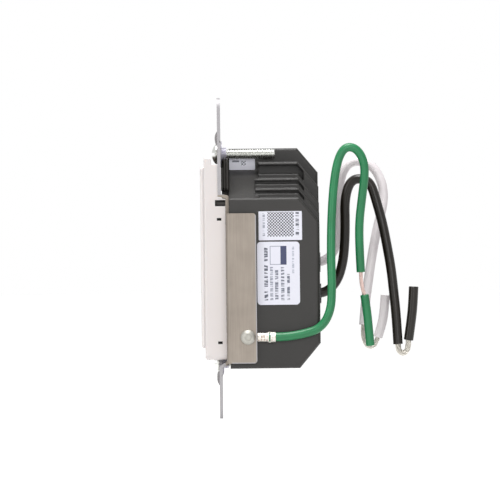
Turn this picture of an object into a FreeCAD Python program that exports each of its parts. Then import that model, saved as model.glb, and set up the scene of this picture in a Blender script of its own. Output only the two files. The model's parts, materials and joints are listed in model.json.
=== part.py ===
import FreeCAD, Part
import math
import os

os.makedirs("parts", exist_ok=True)
V = FreeCAD.Vector

# Smart accessory switch for a wall box, seen as it hangs on the wall.
# X runs into the wall, Y across the switch and Z up.
# X = 0 is the wall plane, where the back of the strap's ends rests.

# Strap, pressed from one steel sheet
strap_thickness = 1.1
strap_length = 106.2
strap_end_width = 34.0
strap_end_corner = 4.0
strap_recess = 2.55
upper_bend_top = 21.3
lower_bend_bottom = -36.3
upper_bend_height = 0.5
lower_bend_height = 1.6
wing_top = 14.9
wing_bottom = -34.6
wing_half_width = 23.1
flange_depth = 11.4
flange_corner = 1.0
sheet_bend_radius = 1.5
bend_round = 0.9
strap_window_corner = 1.5
strap_cut_front = -3
strap_cut_back = 4
strap_window_top = 27.0
strap_window_bottom = -25.4
tongue_half_width = 7.0
tongue_bend_bottom = -29.4
tongue_relief = 0.6
tongue_frame_room = 0.5
tongue_frame_rise = 1.6
plate_screw_spacing = 96.84
plate_screw_hole_radius = 1.4
bump_height = 0.8
bump_length = 4.8
bump_width = 1.6
bump_z = 39.7
bump_y = 11.0
ear_score_y = 7.5
ear_score_z = 38.5
ear_score_width = 0.5
ear_score_depth = 0.3

# Captive box screws and their retainers
box_screw_radius = 1.75
box_screw_z = 34.6
box_spacing_half = 41.65
box_slot_clearance = 0.45
box_screw_head_radius = 3.25
box_screw_head_height = 1.85
box_screw_head_rim = 0.5
box_screw_reach = 18.0
box_screw_tip = 0.6
box_screw_neck_radius = 1.5
box_screw_recess_depth = 1.0
box_screw_slot_half_width = 0.5
box_screw_cross_reach = 1.9
retainer_flange_radius = 4.3
retainer_flange_thickness = 0.45
retainer_collar_radius = 2.15
retainer_collar_length = 1.5
retainer_room = 0.8
running_gap = 0.05

# Front frame
frame_length = 67.0
frame_width = 33.2
frame_front = -5.65
frame_lip_thickness = 1.65
frame_wall = 1.5
frame_rim = 2.7
frame_corner = 1.4
frame_edge_round = 0.7
frame_upper_setback = 0.35
head_notch_depth = 2.15
head_notch_gap = 0.35
head_notch_side_gap = 0.9
snap_window_top = 19.3
snap_window_height = 2.0
snap_window_width = 3.4
snap_window_gap = 0.25
snap_prong_inset = 0.55
snap_prong_thickness = 1.2
latch_slot_height = 0.9
latch_slot_width = 1.5
latch_slot_setback = 1.4
upper_latch_z = 13.4
lower_latch_z = -27.4
hook_width = 4.4
hook_thickness = 1.3
hook_reach = 1.5
hook_z = 9.0
hook_room = 0.25
hook_inset = 0.1

# Paddle and its pivot
paddle_length = 60.2
paddle_front = -6.9
paddle_middle_z = 0.4
paddle_skin = 1.7
paddle_skirt_depth = 3.35
paddle_skirt_wall = 1.35
paddle_edge_round = 0.8
paddle_gap = 0.4
paddle_side_gap = 0.35
pivot_x = -2.4
pivot_radius = 1.1
pivot_ear_radius = 2.3
pivot_pin_reach = 1.75
pivot_boss_radius = 2.3
pivot_end_room = 0.15
presser_arm = 17.5
presser_radius = 1.3
presser_gap = 0.1
presser_setback = 1.3
gusset_length = 3.2
paddle_rib_pitch = 9.0
paddle_rib_half_thickness = 0.5
paddle_corner = 1.0

# Front cover
cover_front = 0.3
cover_plate_top = 18.9
cover_plate_bottom = -25.0
cover_thickness = 1.6
cover_tower_corner = 1.2
cover_pad_corner = 0.9
cover_tower_top = 26.4
cover_tower_bottom = -24.8
cover_tower_wall = 1.4
cover_pad_inset = 0.6
cover_pad_bottom = 22.4
cover_pad_top = 33.3
cover_rib_count = 3
cover_rib_groove = 0.4
cover_rib_depth = 0.8
seat_gap = 0.05

# Rear housing
flange_room = 0.9
side_wall = 1.9
housing_half_height = 36.4
housing_back = 32.4
chamfer_depth = 6.85
chamfer_height = 8.2
housing_wall = 1.7
housing_edge_round = 1.3
screw_wall_y = 3.0
screw_wall_round = 0.9
ramp_back = 12.5
terrace_fronts = [12.5, 11.3, 11.3]
terrace_tops = [31.65, 26.3, 23.0]
terrace_insets = [13.7, 7.5, 3.7]
shoulder_top = 19.85
shoulder_round = 0.8
ramp_top = 29.2
terrace_noses = [0.8, 0.75, 0.75]
terrace_nose_round = 0.6
terrace_slot_heights = [3.1, 1.15, 1.0]
terrace_slot_depths = [4.5, 2.2, 2.2]
terrace_slot_end = 4.9

# Switches behind the paddle
stem_radius = 1.2
stem_length = 7.5
switch_case_size = 6.0
switch_case_height = 4.0
switch_bore_depth = 3.2

# Boards and what they carry
board_thickness = 1.6
board_edge_room = 0.6
power_board_front = 16.0
power_board_side_room = 1.6
cavity_half_height = 15.6
pocket_room = 0.6
pocket_half_height = 21.9
board_post_radius = 1.6
board_post_inset = 3.8
board_post_z = 11.0
connector_width = 13.0
connector_height = 2.5
connector_z = -12.25
radio_width = 12.0
radio_height = 16.0
radio_z = 7.0
radio_base = 0.8
radio_shield_width = 10.4
radio_shield_height = 10.2
radio_shield_depth = 1.8
transformer_depth = 9.5
transformer_width = 12.0
transformer_height = 11.6
transformer_z = 5.2
transformer_limb = 1.8
winding_radius = 4.6
winding_length = 10.8
capacitor_radius = 4.0
capacitor_length = 11.0
capacitor_z = -8.4
capacitor_groove = 0.35
resistor_radius = 1.5
resistor_length = 8.0
resistor_lead_radius = 0.35
resistor_lead_reach = 1.4
resistor_y = -9.5
resistor_z = -6.0
rectifier_width = 6.0
rectifier_height = 4.5
rectifier_depth = 2.4
rectifier_z = 9.0

# Assembly screws
assembly_screw_inset = 3.85
assembly_hole_room = 0.15
assembly_tower_room = 0.9
assembly_screw_z = 17.6
assembly_screw_radius = 0.95
assembly_screw_head_radius = 1.85
assembly_screw_head_height = 1.0
assembly_screw_length = 8.0

# Ground screw and terminal
ground_x = 8.4
ground_z = -26.0
ground_head_radius = 2.45
ground_head_height = 1.7
ground_shank_radius = 1.45
ground_shank_length = 4.4
ground_drive_radius = 1.1
ground_drive_depth = 0.8
ground_hole_depth = 2.7
terminal_ring_radius = 3.0
terminal_thickness = 0.8
terminal_barrel_radius = 1.55
terminal_barrel_start = 11.7
terminal_barrel_length = 3.2
terminal_grip_length = 2.6
terminal_grip_wall = 0.35
terminal_neck_half_width = 1.3
terminal_overlap = 0.6
terminal_pinch = 0.9
terminal_lead_offset = 0.95

# Leads
ground_lead_radius = 1.42
line_lead_radius = 1.6
neutral_lead_radius = 1.55
strand_radius = 0.75
ground_strand_radius = 0.6
bushing_wall = 1.0
bushing_flange_radius = 3.3
bushing_flange_length = 0.7
lead_arc_share = 0.45
neutral_exit = (10.0, -1.9)
line_exit = (0.0, -12.2)
lead_start_x = 21.4

# Labels
label_thickness = 0.1
rating_label_corner = 1.2
printed_label_corner = 0.3
rating_label_x = (11.7, 25.7)
rating_label_z = (-15.4, 5.4)
code_label_x = (12.3, 26.6)
code_label_z = (5.9, 15.45)
corner_label_x = (2.85, 11.5)
corner_label_z = (29.3, 33.0)

thread_start = retainer_flange_thickness + running_gap
strap_half_length = strap_length / 2
strap_half_width = strap_end_width / 2
strap_end_front = -strap_thickness
plate_back = strap_recess
plate_front = strap_recess - strap_thickness
flange_inner_y = wing_half_width - strap_thickness
housing_half_width = flange_inner_y - flange_room
terrace_faces = [housing_half_width - inset for inset in terrace_insets]
cavity_half_width = housing_half_width - side_wall
cover_half_width = cavity_half_width
cover_pad_half_width = strap_half_width - cover_pad_inset
control_board_half_height = pocket_half_height - board_edge_room
power_board_half_width = cavity_half_width - power_board_side_room
power_board_half_height = cavity_half_height - board_edge_room
board_post_y = cavity_half_width - board_post_inset
post_inner_y = board_post_y - board_post_radius
ground_lead_y = -flange_inner_y - terminal_lead_offset
housing_front = plate_back + seat_gap
frame_half_length = frame_length / 2
frame_half_width = frame_width / 2
assembly_screw_y = frame_half_width - assembly_screw_inset
assembly_hole_radius = assembly_screw_radius + assembly_hole_room
cover_tower_half_width = assembly_screw_y - assembly_screw_head_radius - assembly_tower_room
strap_window_half_width = cover_tower_half_width + tongue_frame_room
pocket_half_width = cover_tower_half_width + pocket_room
control_board_half_width = pocket_half_width - board_edge_room
frame_back = plate_front - seat_gap
paddle_top = paddle_middle_z + paddle_length / 2
paddle_bottom = paddle_middle_z - paddle_length / 2
opening_half_width = frame_half_width - frame_rim
paddle_half_width = opening_half_width - paddle_side_gap
presser_tip = cover_front - presser_setback
stem_front = presser_tip + presser_gap
cover_plate_front = housing_front
cover_plate_back = housing_front + cover_thickness
switch_case_front = cover_plate_back + 0.2
control_board_front = switch_case_front + switch_case_height
control_board_back = control_board_front + board_thickness
power_board_back = power_board_front + board_thickness
chamfer_start = housing_back - chamfer_depth
inner_back = housing_back - housing_wall


def block(x0, x1, y0, y1, z0, z1):
    return Part.makeBox(x1 - x0, y1 - y0, z1 - z0, V(x0, y0, z0))


def rod_x(x0, x1, y, z, radius):
    return Part.makeCylinder(radius, x1 - x0, V(x0, y, z), V(1, 0, 0))


def rod_y(y0, y1, x, z, radius):
    return Part.makeCylinder(radius, y1 - y0, V(x, y0, z), V(0, 1, 0))


def side_prism(points, y0, y1):
    corners = [V(x, y0, z) for x, z in points]
    face = Part.Face(Part.makePolygon(corners + [corners[0]]))
    return face.extrude(V(0, y1 - y0, 0))


def front_prism(points, x0, x1):
    corners = [V(x0, y, z) for y, z in points]
    face = Part.Face(Part.makePolygon(corners + [corners[0]]))
    return face.extrude(V(x1 - x0, 0, 0))


def straight_edges(shape, direction):
    found = []
    for edge in shape.Edges:
        if isinstance(edge.Curve, Part.Line):
            along = (edge.Vertexes[-1].Point - edge.Vertexes[0].Point).normalize()
            if abs(abs(along.dot(direction)) - 1) < 1e-6:
                found.append(edge)
    return found


def rounded(shape, radius, direction, keep):
    chosen = [edge for edge in straight_edges(shape, direction) if keep(edge.CenterOfMass)]
    return shape.makeFillet(radius, chosen)


def all_rounded(shape, radius, direction):
    return shape.makeFillet(radius, straight_edges(shape, direction))


def joined(pieces):
    whole = pieces[0]
    for piece in pieces[1:]:
        whole = whole.fuse(piece)
    return whole.removeSplitter()


def slot_x(x0, x1, y, z0, z1, half_width):
    middle = block(x0, x1, y - half_width, y + half_width, z0, z1)
    return joined([middle, rod_x(x0, x1, y, z0, half_width), rod_x(x0, x1, y, z1, half_width)])


def half_turned(shape):
    copy = shape.copy()
    copy.rotate(V(0, 0, 0), V(1, 0, 0), 180)
    return copy


def save(name, shape):
    shape.exportStep("parts/" + name + ".step")


def bend_offset(bend_height):
    slope = math.atan2(strap_recess, bend_height)
    return strap_thickness * math.tan(slope / 2)


def strip_profile(upper_top, lower_bottom, top, bottom):
    upper_shift = bend_offset(upper_bend_height)
    lower_shift = bend_offset(lower_bend_height)
    back = [(0, top), (0, upper_top), (plate_back, upper_top - upper_bend_height)]
    back += [(plate_back, lower_bottom + lower_bend_height), (0, lower_bottom), (0, bottom)]
    front = [(strap_end_front, bottom), (strap_end_front, lower_bottom + lower_shift)]
    front += [(plate_front, lower_bottom + lower_bend_height + lower_shift)]
    front += [(plate_front, upper_top - upper_bend_height - upper_shift)]
    front += [(strap_end_front, upper_top - upper_shift), (strap_end_front, top)]
    return back + front


def mounting_strap():
    strip = strip_profile(upper_bend_top, lower_bend_bottom, strap_half_length, -strap_half_length)
    strap = side_prism(strip, -strap_half_width, strap_half_width)
    upper_middle = upper_bend_top - upper_bend_height
    strap = rounded(
        strap, bend_round, V(0, 1, 0), lambda c: abs(c.x - plate_back) < 1e-3 and abs(c.z - upper_middle) < 1e-3
    )
    strap = rounded(strap, strap_end_corner, V(1, 0, 0), lambda c: abs(c.z) > strap_half_length - 1)
    relief = tongue_half_width + tongue_relief
    relief_bottom = lower_bend_bottom - 0.6
    relief_top = tongue_bend_bottom + lower_bend_height + 0.6
    tongue_shift = bend_offset(lower_bend_height)
    relief_cut = block(strap_cut_front, strap_cut_back, -relief, relief, relief_bottom, relief_top)
    tongue = side_prism(
        [
            (0, relief_bottom - 1),
            (0, tongue_bend_bottom),
            (plate_back, tongue_bend_bottom + lower_bend_height),
            (plate_back, relief_top + 0.5),
            (plate_front, relief_top + 0.5),
            (plate_front, tongue_bend_bottom + lower_bend_height + tongue_shift),
            (strap_end_front, tongue_bend_bottom + tongue_shift),
            (strap_end_front, relief_bottom - 1),
        ],
        -tongue_half_width,
        tongue_half_width,
    )
    wing = block(plate_front, flange_depth, -wing_half_width, wing_half_width, wing_bottom, wing_top)
    wing = rounded(wing, sheet_bend_radius, V(0, 0, 1), lambda c: c.x < plate_front + 0.1)
    inner = block(plate_back, flange_depth + 1, -flange_inner_y, flange_inner_y, wing_bottom - 1, wing_top + 1)
    inner_round = sheet_bend_radius - strap_thickness
    inner = rounded(inner, inner_round, V(0, 0, 1), lambda c: c.x < plate_back + 0.1)
    wing = wing.cut(inner)
    wing = rounded(wing, flange_corner, V(0, 1, 0), lambda c: c.x > flange_depth - 0.1)
    strap = joined([joined([strap, wing]).cut(relief_cut), tongue])
    window = block(
        strap_cut_front,
        strap_cut_back,
        -strap_window_half_width,
        strap_window_half_width,
        strap_window_bottom,
        strap_window_top,
    )
    window = all_rounded(window, strap_window_corner, V(1, 0, 0))
    strap = strap.cut(window)
    slot_half = box_screw_radius + box_slot_clearance
    for side in (1, -1):
        low, high = sorted((side * box_screw_z, side * box_spacing_half))
        strap = strap.cut(slot_x(strap_cut_front, 1, 0, low, high, slot_half))
        plate_hole_z = side * plate_screw_spacing / 2
        strap = strap.cut(rod_x(strap_cut_front, 1, 0, plate_hole_z, plate_screw_hole_radius))
        for across in (1, -1):
            strap = strap.fuse(locating_bump(across * bump_y, side * bump_z))
            hole = rod_x(
                strap_cut_front,
                strap_cut_back,
                across * assembly_screw_y,
                side * assembly_screw_z,
                assembly_hole_radius,
            )
            strap = strap.cut(hole)
            strap = strap.cut(hook_opening(across, side))
            strap = strap.cut(ear_score(across, side))
    for side in (1, -1):
        strap = strap.cut(latch_prong(side, 0.15))
    ground_hole = rod_y(-wing_half_width - 1, 0, ground_x, ground_z, ground_shank_radius + running_gap)
    strap = strap.cut(ground_hole)
    return strap.removeSplitter()


def locating_bump(y, z):
    crown = (bump_length**2 / 4 + bump_height**2) / (2 * bump_height)
    front = strap_end_front - bump_height
    near = y - bump_width / 2
    far = y + bump_width / 2
    dome = rod_y(near, far, front + crown, z, crown)
    return dome.common(block(front - 1, strap_end_front, near, far, z - bump_length, z + bump_length))


def latch_prong(side, room):
    front = frame_back - snap_window_width + snap_window_gap
    outer = side * (frame_half_width - snap_prong_inset + room)
    inner = side * (frame_half_width - snap_prong_inset - snap_prong_thickness - room)
    near, far = sorted((outer, inner))
    low = snap_window_top - snap_window_height + snap_window_gap
    high = cover_plate_top - 0.1
    return block(front, cover_plate_back, near, far, low - room, high + room)


def ear_score(across, side):
    start = V(0, across * ear_score_y, side * strap_half_length)
    along = V(0, across * strap_half_width, side * ear_score_z) - start
    score = block(-ear_score_depth, 1, -ear_score_width / 2, ear_score_width / 2, -2, along.Length + 2)
    score.rotate(V(0, 0, 0), V(1, 0, 0), math.degrees(math.atan2(-along.y, along.z)))
    score.translate(start)
    return score


def hook_opening(across, side):
    centre = across * (frame_half_width - frame_wall / 2)
    half = hook_width / 2 + hook_room
    reach = hook_thickness / 2 + hook_room
    low = side * hook_z - half
    high = side * hook_z + half
    return block(plate_front - 1, strap_cut_back, centre - reach, centre + reach, low, high)


def box_screw(z):
    shank = rod_x(thread_start, box_screw_reach, 0, z, box_screw_radius)
    tip_edges = [e for e in shank.Edges if e.Closed and e.CenterOfMass.x > box_screw_reach - 0.1]
    shank = shank.makeChamfer(box_screw_tip, tip_edges)
    shank = shank.fuse(rod_x(strap_end_front, thread_start, 0, z, box_screw_neck_radius))
    rise = box_screw_head_height - box_screw_head_rim
    crown = (box_screw_head_radius**2 + rise**2) / (2 * rise)
    ball = Part.makeSphere(crown, V(strap_end_front - box_screw_head_height + crown, 0, z))
    barrel = rod_x(
        strap_end_front - box_screw_head_height - 1, strap_end_front, 0, z, box_screw_head_radius
    )
    head = ball.common(barrel)
    drive_front = strap_end_front - box_screw_head_height - 1
    drive_back = strap_end_front - box_screw_head_height + box_screw_recess_depth
    half = box_screw_slot_half_width
    reach = box_screw_cross_reach
    slot = block(drive_front, drive_back, -box_screw_head_radius, box_screw_head_radius, z - half, z + half)
    cross = block(drive_front, drive_back, -half, half, z - reach, z + reach)
    return joined([shank, head]).cut(slot).cut(cross).removeSplitter()


def screw_retainer(z):
    back = retainer_flange_thickness + retainer_collar_length
    flange = rod_x(0, retainer_flange_thickness, 0, z, retainer_flange_radius)
    collar = rod_x(0, back, 0, z, retainer_collar_radius)
    neck_bore = rod_x(-1, back, 0, z, box_screw_neck_radius + running_gap)
    thread_bore = rod_x(retainer_flange_thickness, back + 1, 0, z, box_screw_radius + running_gap)
    return joined([flange, collar]).cut(neck_bore).cut(thread_bore)


def front_frame():
    shift = bend_offset(upper_bend_height)
    ramp_high = upper_bend_top - shift - 0.2
    ramp_low = ramp_high - upper_bend_height
    profile = [
        (frame_front, -frame_half_length),
        (frame_front, frame_half_length),
        (strap_end_front - seat_gap, frame_half_length),
        (strap_end_front - seat_gap, ramp_high),
        (frame_back, ramp_low),
        (frame_back, -frame_half_length),
    ]
    frame = side_prism(profile, -frame_half_width, frame_half_width)
    frame = rounded(frame, frame_corner, V(1, 0, 0), lambda c: abs(c.z) > frame_half_length - 1)
    front_edges = [e for e in frame.Edges if abs(e.CenterOfMass.x - frame_front) < 1e-3]
    frame = frame.makeFillet(frame_edge_round, front_edges)
    for side in (1, -1):
        edge_y = side * frame_half_width
        near, far = sorted((edge_y, side * (frame_half_width - frame_upper_setback)))
        frame = frame.cut(block(frame_front - 1, frame_back, near, far, ramp_high, frame_half_length + 1))
    lip_back = frame_front + frame_lip_thickness
    opening = block(
        frame_front - 1,
        frame_back + 1,
        -opening_half_width,
        opening_half_width,
        paddle_bottom - paddle_gap,
        paddle_top + paddle_gap,
    )
    inner_half_width = frame_half_width - frame_wall
    hollow = block(
        lip_back,
        frame_back + 1,
        -inner_half_width,
        inner_half_width,
        -frame_half_length + frame_wall,
        frame_half_length - frame_wall,
    )
    frame = frame.cut(opening).cut(hollow)
    notch_front = strap_end_front - head_notch_depth
    notch_z = box_screw_z - box_screw_head_radius - head_notch_gap
    upper_notch = block(notch_front, 1, -frame_width, frame_width, notch_z, frame_half_length + 1)
    lower_notch = block(
        notch_front,
        frame_back + 1,
        -box_screw_head_radius - head_notch_side_gap,
        box_screw_head_radius + head_notch_side_gap,
        -frame_half_length - 1,
        -notch_z,
    )
    tongue_room = tongue_half_width + tongue_frame_room
    tongue_notch = block(
        strap_end_front - seat_gap,
        frame_back + 1,
        -tongue_room,
        tongue_room,
        -frame_half_length - 1,
        tongue_bend_bottom + lower_bend_height + tongue_frame_rise,
    )
    frame = frame.cut(upper_notch).cut(lower_notch).cut(tongue_notch)
    for side in (1, -1):
        frame = frame.fuse(pivot_boss(side))
        frame = frame.cut(pivot_hole(side))
        frame = frame.cut(side_window(side, frame_back, snap_window_top, snap_window_width, snap_window_height))
        for slot_top in (upper_latch_z, lower_latch_z):
            frame = frame.cut(
                side_window(side, plate_front - latch_slot_setback, slot_top, latch_slot_width, latch_slot_height)
            )
        for end in (1, -1):
            frame = frame.fuse(frame_hook(side, end))
    return frame.removeSplitter()


def side_window(side, back, top, width, height):
    outer = side * (frame_half_width + 1)
    inner = side * (frame_half_width - frame_wall - 0.3)
    near, far = sorted((outer, inner))
    return block(back - width, back, near, far, top - height, top)


def pivot_boss(side):
    near, far = sorted((side * (opening_half_width + 0.1), side * (frame_half_width - frame_wall / 2)))
    boss = rod_y(near, far, pivot_x, paddle_middle_z, pivot_boss_radius)
    web = block(
        frame_front + frame_lip_thickness / 2,
        pivot_x,
        near,
        far,
        paddle_middle_z - pivot_boss_radius,
        paddle_middle_z + pivot_boss_radius,
    )
    return joined([boss, web])


def pivot_hole(side):
    reach = paddle_half_width + pivot_pin_reach + pivot_end_room
    near, far = sorted((0, side * reach))
    return rod_y(near, far, pivot_x, paddle_middle_z, pivot_radius + running_gap)


def frame_hook(side, end):
    outer = side * (frame_half_width - hook_inset)
    inner = side * (frame_half_width - hook_inset - hook_thickness)
    near, far = sorted((outer, inner))
    centre = end * hook_z
    return block(
        frame_back - 1, frame_back + hook_reach, near, far, centre - hook_width / 2, centre + hook_width / 2
    )


def paddle():
    back = paddle_front + paddle_skirt_depth
    body = block(paddle_front, back, -paddle_half_width, paddle_half_width, paddle_bottom, paddle_top)
    body = all_rounded(body, paddle_corner, V(1, 0, 0))
    front_edges = [e for e in body.Edges if abs(e.CenterOfMass.x - paddle_front) < 1e-3]
    body = body.makeFillet(paddle_edge_round, front_edges)
    inner_half_width = paddle_half_width - paddle_skirt_wall
    hollow = block(
        paddle_front + paddle_skin,
        back + 1,
        -inner_half_width,
        inner_half_width,
        paddle_bottom + paddle_skirt_wall,
        paddle_top - paddle_skirt_wall,
    )
    body = body.cut(hollow)
    for side in (1, -1):
        near, far = sorted((side * inner_half_width, side * paddle_half_width))
        ear = rod_y(near, far, pivot_x, paddle_middle_z, pivot_ear_radius)
        web = block(
            back - 0.5,
            pivot_x,
            near,
            far,
            paddle_middle_z - pivot_ear_radius,
            paddle_middle_z + pivot_ear_radius,
        )
        near, far = sorted((side * inner_half_width, side * (paddle_half_width + pivot_pin_reach)))
        pin = rod_y(near, far, pivot_x, paddle_middle_z, pivot_radius)
        post_z = paddle_middle_z + side * presser_arm
        post = rod_x(paddle_front + paddle_skin / 2, presser_tip, 0, post_z, presser_radius)
        body = joined([body, ear, web, pin, post])
        for along in (1, -1):
            gusset = block(
                paddle_front + paddle_skin / 2,
                back + 0.6,
                -paddle_rib_half_thickness,
                paddle_rib_half_thickness,
                min(post_z, post_z + along * gusset_length),
                max(post_z, post_z + along * gusset_length),
            )
            body = body.fuse(gusset)
    for place in (-1, 0, 1):
        rib_z = paddle_middle_z + place * paddle_rib_pitch
        rib = block(
            paddle_front + paddle_skin / 2,
            back - 0.6,
            -inner_half_width - 0.3,
            inner_half_width + 0.3,
            rib_z - paddle_rib_half_thickness,
            rib_z + paddle_rib_half_thickness,
        )
        body = body.fuse(rib)
    return body.removeSplitter()


def front_cover():
    plate = block(
        cover_plate_front,
        cover_plate_back,
        -cover_half_width,
        cover_half_width,
        cover_plate_bottom,
        cover_plate_top,
    )
    for side in (1, -1):
        for end in (1, -1):
            hole = rod_x(
                cover_plate_front - 1,
                cover_plate_back + 1,
                side * assembly_screw_y,
                end * assembly_screw_z,
                assembly_hole_radius,
            )
            plate = plate.cut(hole)
            plate = plate.cut(hook_opening(side, end))
    tower = block(
        cover_front,
        cover_plate_back,
        -cover_tower_half_width,
        cover_tower_half_width,
        cover_tower_bottom,
        cover_tower_top,
    )
    tower = all_rounded(tower, cover_tower_corner, V(1, 0, 0))
    hollow = block(
        cover_front + cover_tower_wall,
        cover_plate_back + 1,
        -cover_tower_half_width + cover_tower_wall,
        cover_tower_half_width - cover_tower_wall,
        cover_tower_bottom + cover_tower_wall,
        pocket_half_height,
    )
    above = block(
        cover_plate_front - 0.15,
        cover_plate_back + 1,
        -cover_tower_half_width - 1,
        cover_tower_half_width + 1,
        pocket_half_height,
        cover_tower_top + 1,
    )
    pad = block(
        seat_gap,
        plate_back - seat_gap,
        -cover_pad_half_width,
        cover_pad_half_width,
        cover_pad_bottom,
        cover_pad_top,
    )
    pad = all_rounded(pad, cover_pad_corner, V(1, 0, 0))
    pitch = (plate_back - 2 * seat_gap) / cover_rib_count
    for index in range(1, cover_rib_count):
        groove_x = seat_gap + index * pitch
        band = block(
            groove_x - cover_rib_groove / 2,
            groove_x + cover_rib_groove / 2,
            -cover_pad_half_width - 1,
            cover_pad_half_width + 1,
            cover_pad_bottom - 1,
            cover_pad_top + 1,
        )
        core = block(
            0,
            plate_back,
            -cover_pad_half_width + cover_rib_depth,
            cover_pad_half_width - cover_rib_depth,
            cover_pad_bottom + cover_rib_depth,
            cover_pad_top - cover_rib_depth,
        )
        pad = pad.cut(band.cut(core))
    cover = joined([plate, tower, pad]).cut(hollow).cut(above)
    for side in (1, -1):
        stem_hole = rod_x(
            cover_front - 1,
            cover_plate_back,
            0,
            paddle_middle_z + side * presser_arm,
            stem_radius + 0.1,
        )
        cover = cover.cut(stem_hole).fuse(latch_prong(side, 0))
    seat = block(
        -1,
        retainer_flange_thickness + 0.2,
        -cover_pad_half_width - 1,
        retainer_flange_radius + retainer_room / 2,
        box_screw_z - retainer_flange_radius - retainer_room / 2,
        cover_pad_top + 1,
    )
    room_radius = retainer_collar_radius + retainer_room
    collar_room = slot_x(-1, plate_back + 1, 0, box_screw_z, box_spacing_half, room_radius)
    return cover.cut(seat).cut(collar_room).removeSplitter()


def side_outline(top, bottom):
    return [
        (housing_front, bottom),
        (chamfer_start, bottom),
        (housing_back, bottom + chamfer_height),
        (housing_back, top - chamfer_height),
        (chamfer_start, top),
        (housing_front, top),
    ]


def terrace_slot(index):
    slope = chamfer_height / chamfer_depth
    left = terrace_fronts[index] - 0.5
    right = housing_back - terrace_slot_end
    upper = terrace_tops[index] - terrace_noses[index]
    lower = upper - terrace_slot_heights[index]
    drop = (right - chamfer_start) * slope
    points = [
        (left, upper),
        (chamfer_start, upper),
        (right, upper - drop),
        (right, lower - drop),
        (chamfer_start, lower),
        (left, lower),
    ]
    face_y = -terrace_faces[index]
    return side_prism(points, face_y - 2, face_y + terrace_slot_depths[index])


def terrace_step(front, top, face_y, edge_round):
    run = chamfer_depth + 2
    fall = run * chamfer_height / chamfer_depth
    points = [
        (front, 0),
        (front, top),
        (chamfer_start, top),
        (chamfer_start + run, top - fall),
        (chamfer_start + run, 0),
    ]
    step = side_prism(points, -face_y, screw_wall_y)
    noses = []
    for edge in step.Edges:
        middle = edge.CenterOfMass
        if abs(middle.y + face_y) < 1e-3 and middle.z > top - fall and middle.x > front + 0.1:
            noses.append(edge)
    return step.makeFillet(edge_round, noses)


def wall_rim():
    outline = side_outline(housing_half_height, 0)
    far = side_prism(outline, screw_wall_y, housing_half_width)
    near_edges = []
    for edge in far.Edges:
        middle = edge.CenterOfMass
        if abs(middle.y - screw_wall_y) < 1e-3 and middle.x > housing_front + 0.1 and middle.z > 0.1:
            near_edges.append(edge)
    softened = far.makeFillet(screw_wall_round, near_edges)
    lowest = terrace_tops[0] - chamfer_height + 0.2
    zone = block(
        housing_front - 1,
        housing_back + 1,
        screw_wall_y - 0.1,
        screw_wall_y + screw_wall_round + 0.1,
        lowest,
        housing_half_height + 1,
    )
    return far.cut(softened).common(zone)


def corner_waste():
    waste = block(
        housing_front - 1,
        housing_back + 1,
        -housing_half_width - 2,
        screw_wall_y,
        shoulder_top - chamfer_height - 1.5,
        housing_half_height + 2,
    )
    ramp = front_prism(
        [
            (-housing_half_width - 3, 0),
            (-housing_half_width - 3, shoulder_top - 1),
            (-housing_half_width, shoulder_top - shoulder_round),
            (screw_wall_y, ramp_top),
            (screw_wall_y, 0),
        ],
        housing_front - 2,
        ramp_back,
    )
    ramp_limit = terrace_step(housing_front - 2, housing_half_height, housing_half_width, shoulder_round)
    keep = [ramp.common(ramp_limit)]
    keep.append(terrace_step(housing_front - 2, shoulder_top, housing_half_width, shoulder_round))
    for front, top, face_y in zip(terrace_fronts, terrace_tops, terrace_faces):
        keep.append(terrace_step(front, top, face_y, terrace_nose_round))
    for piece in keep:
        waste = waste.cut(piece)
    for index in range(len(terrace_tops)):
        waste = waste.fuse(terrace_slot(index))
    return waste.fuse(wall_rim())


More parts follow.
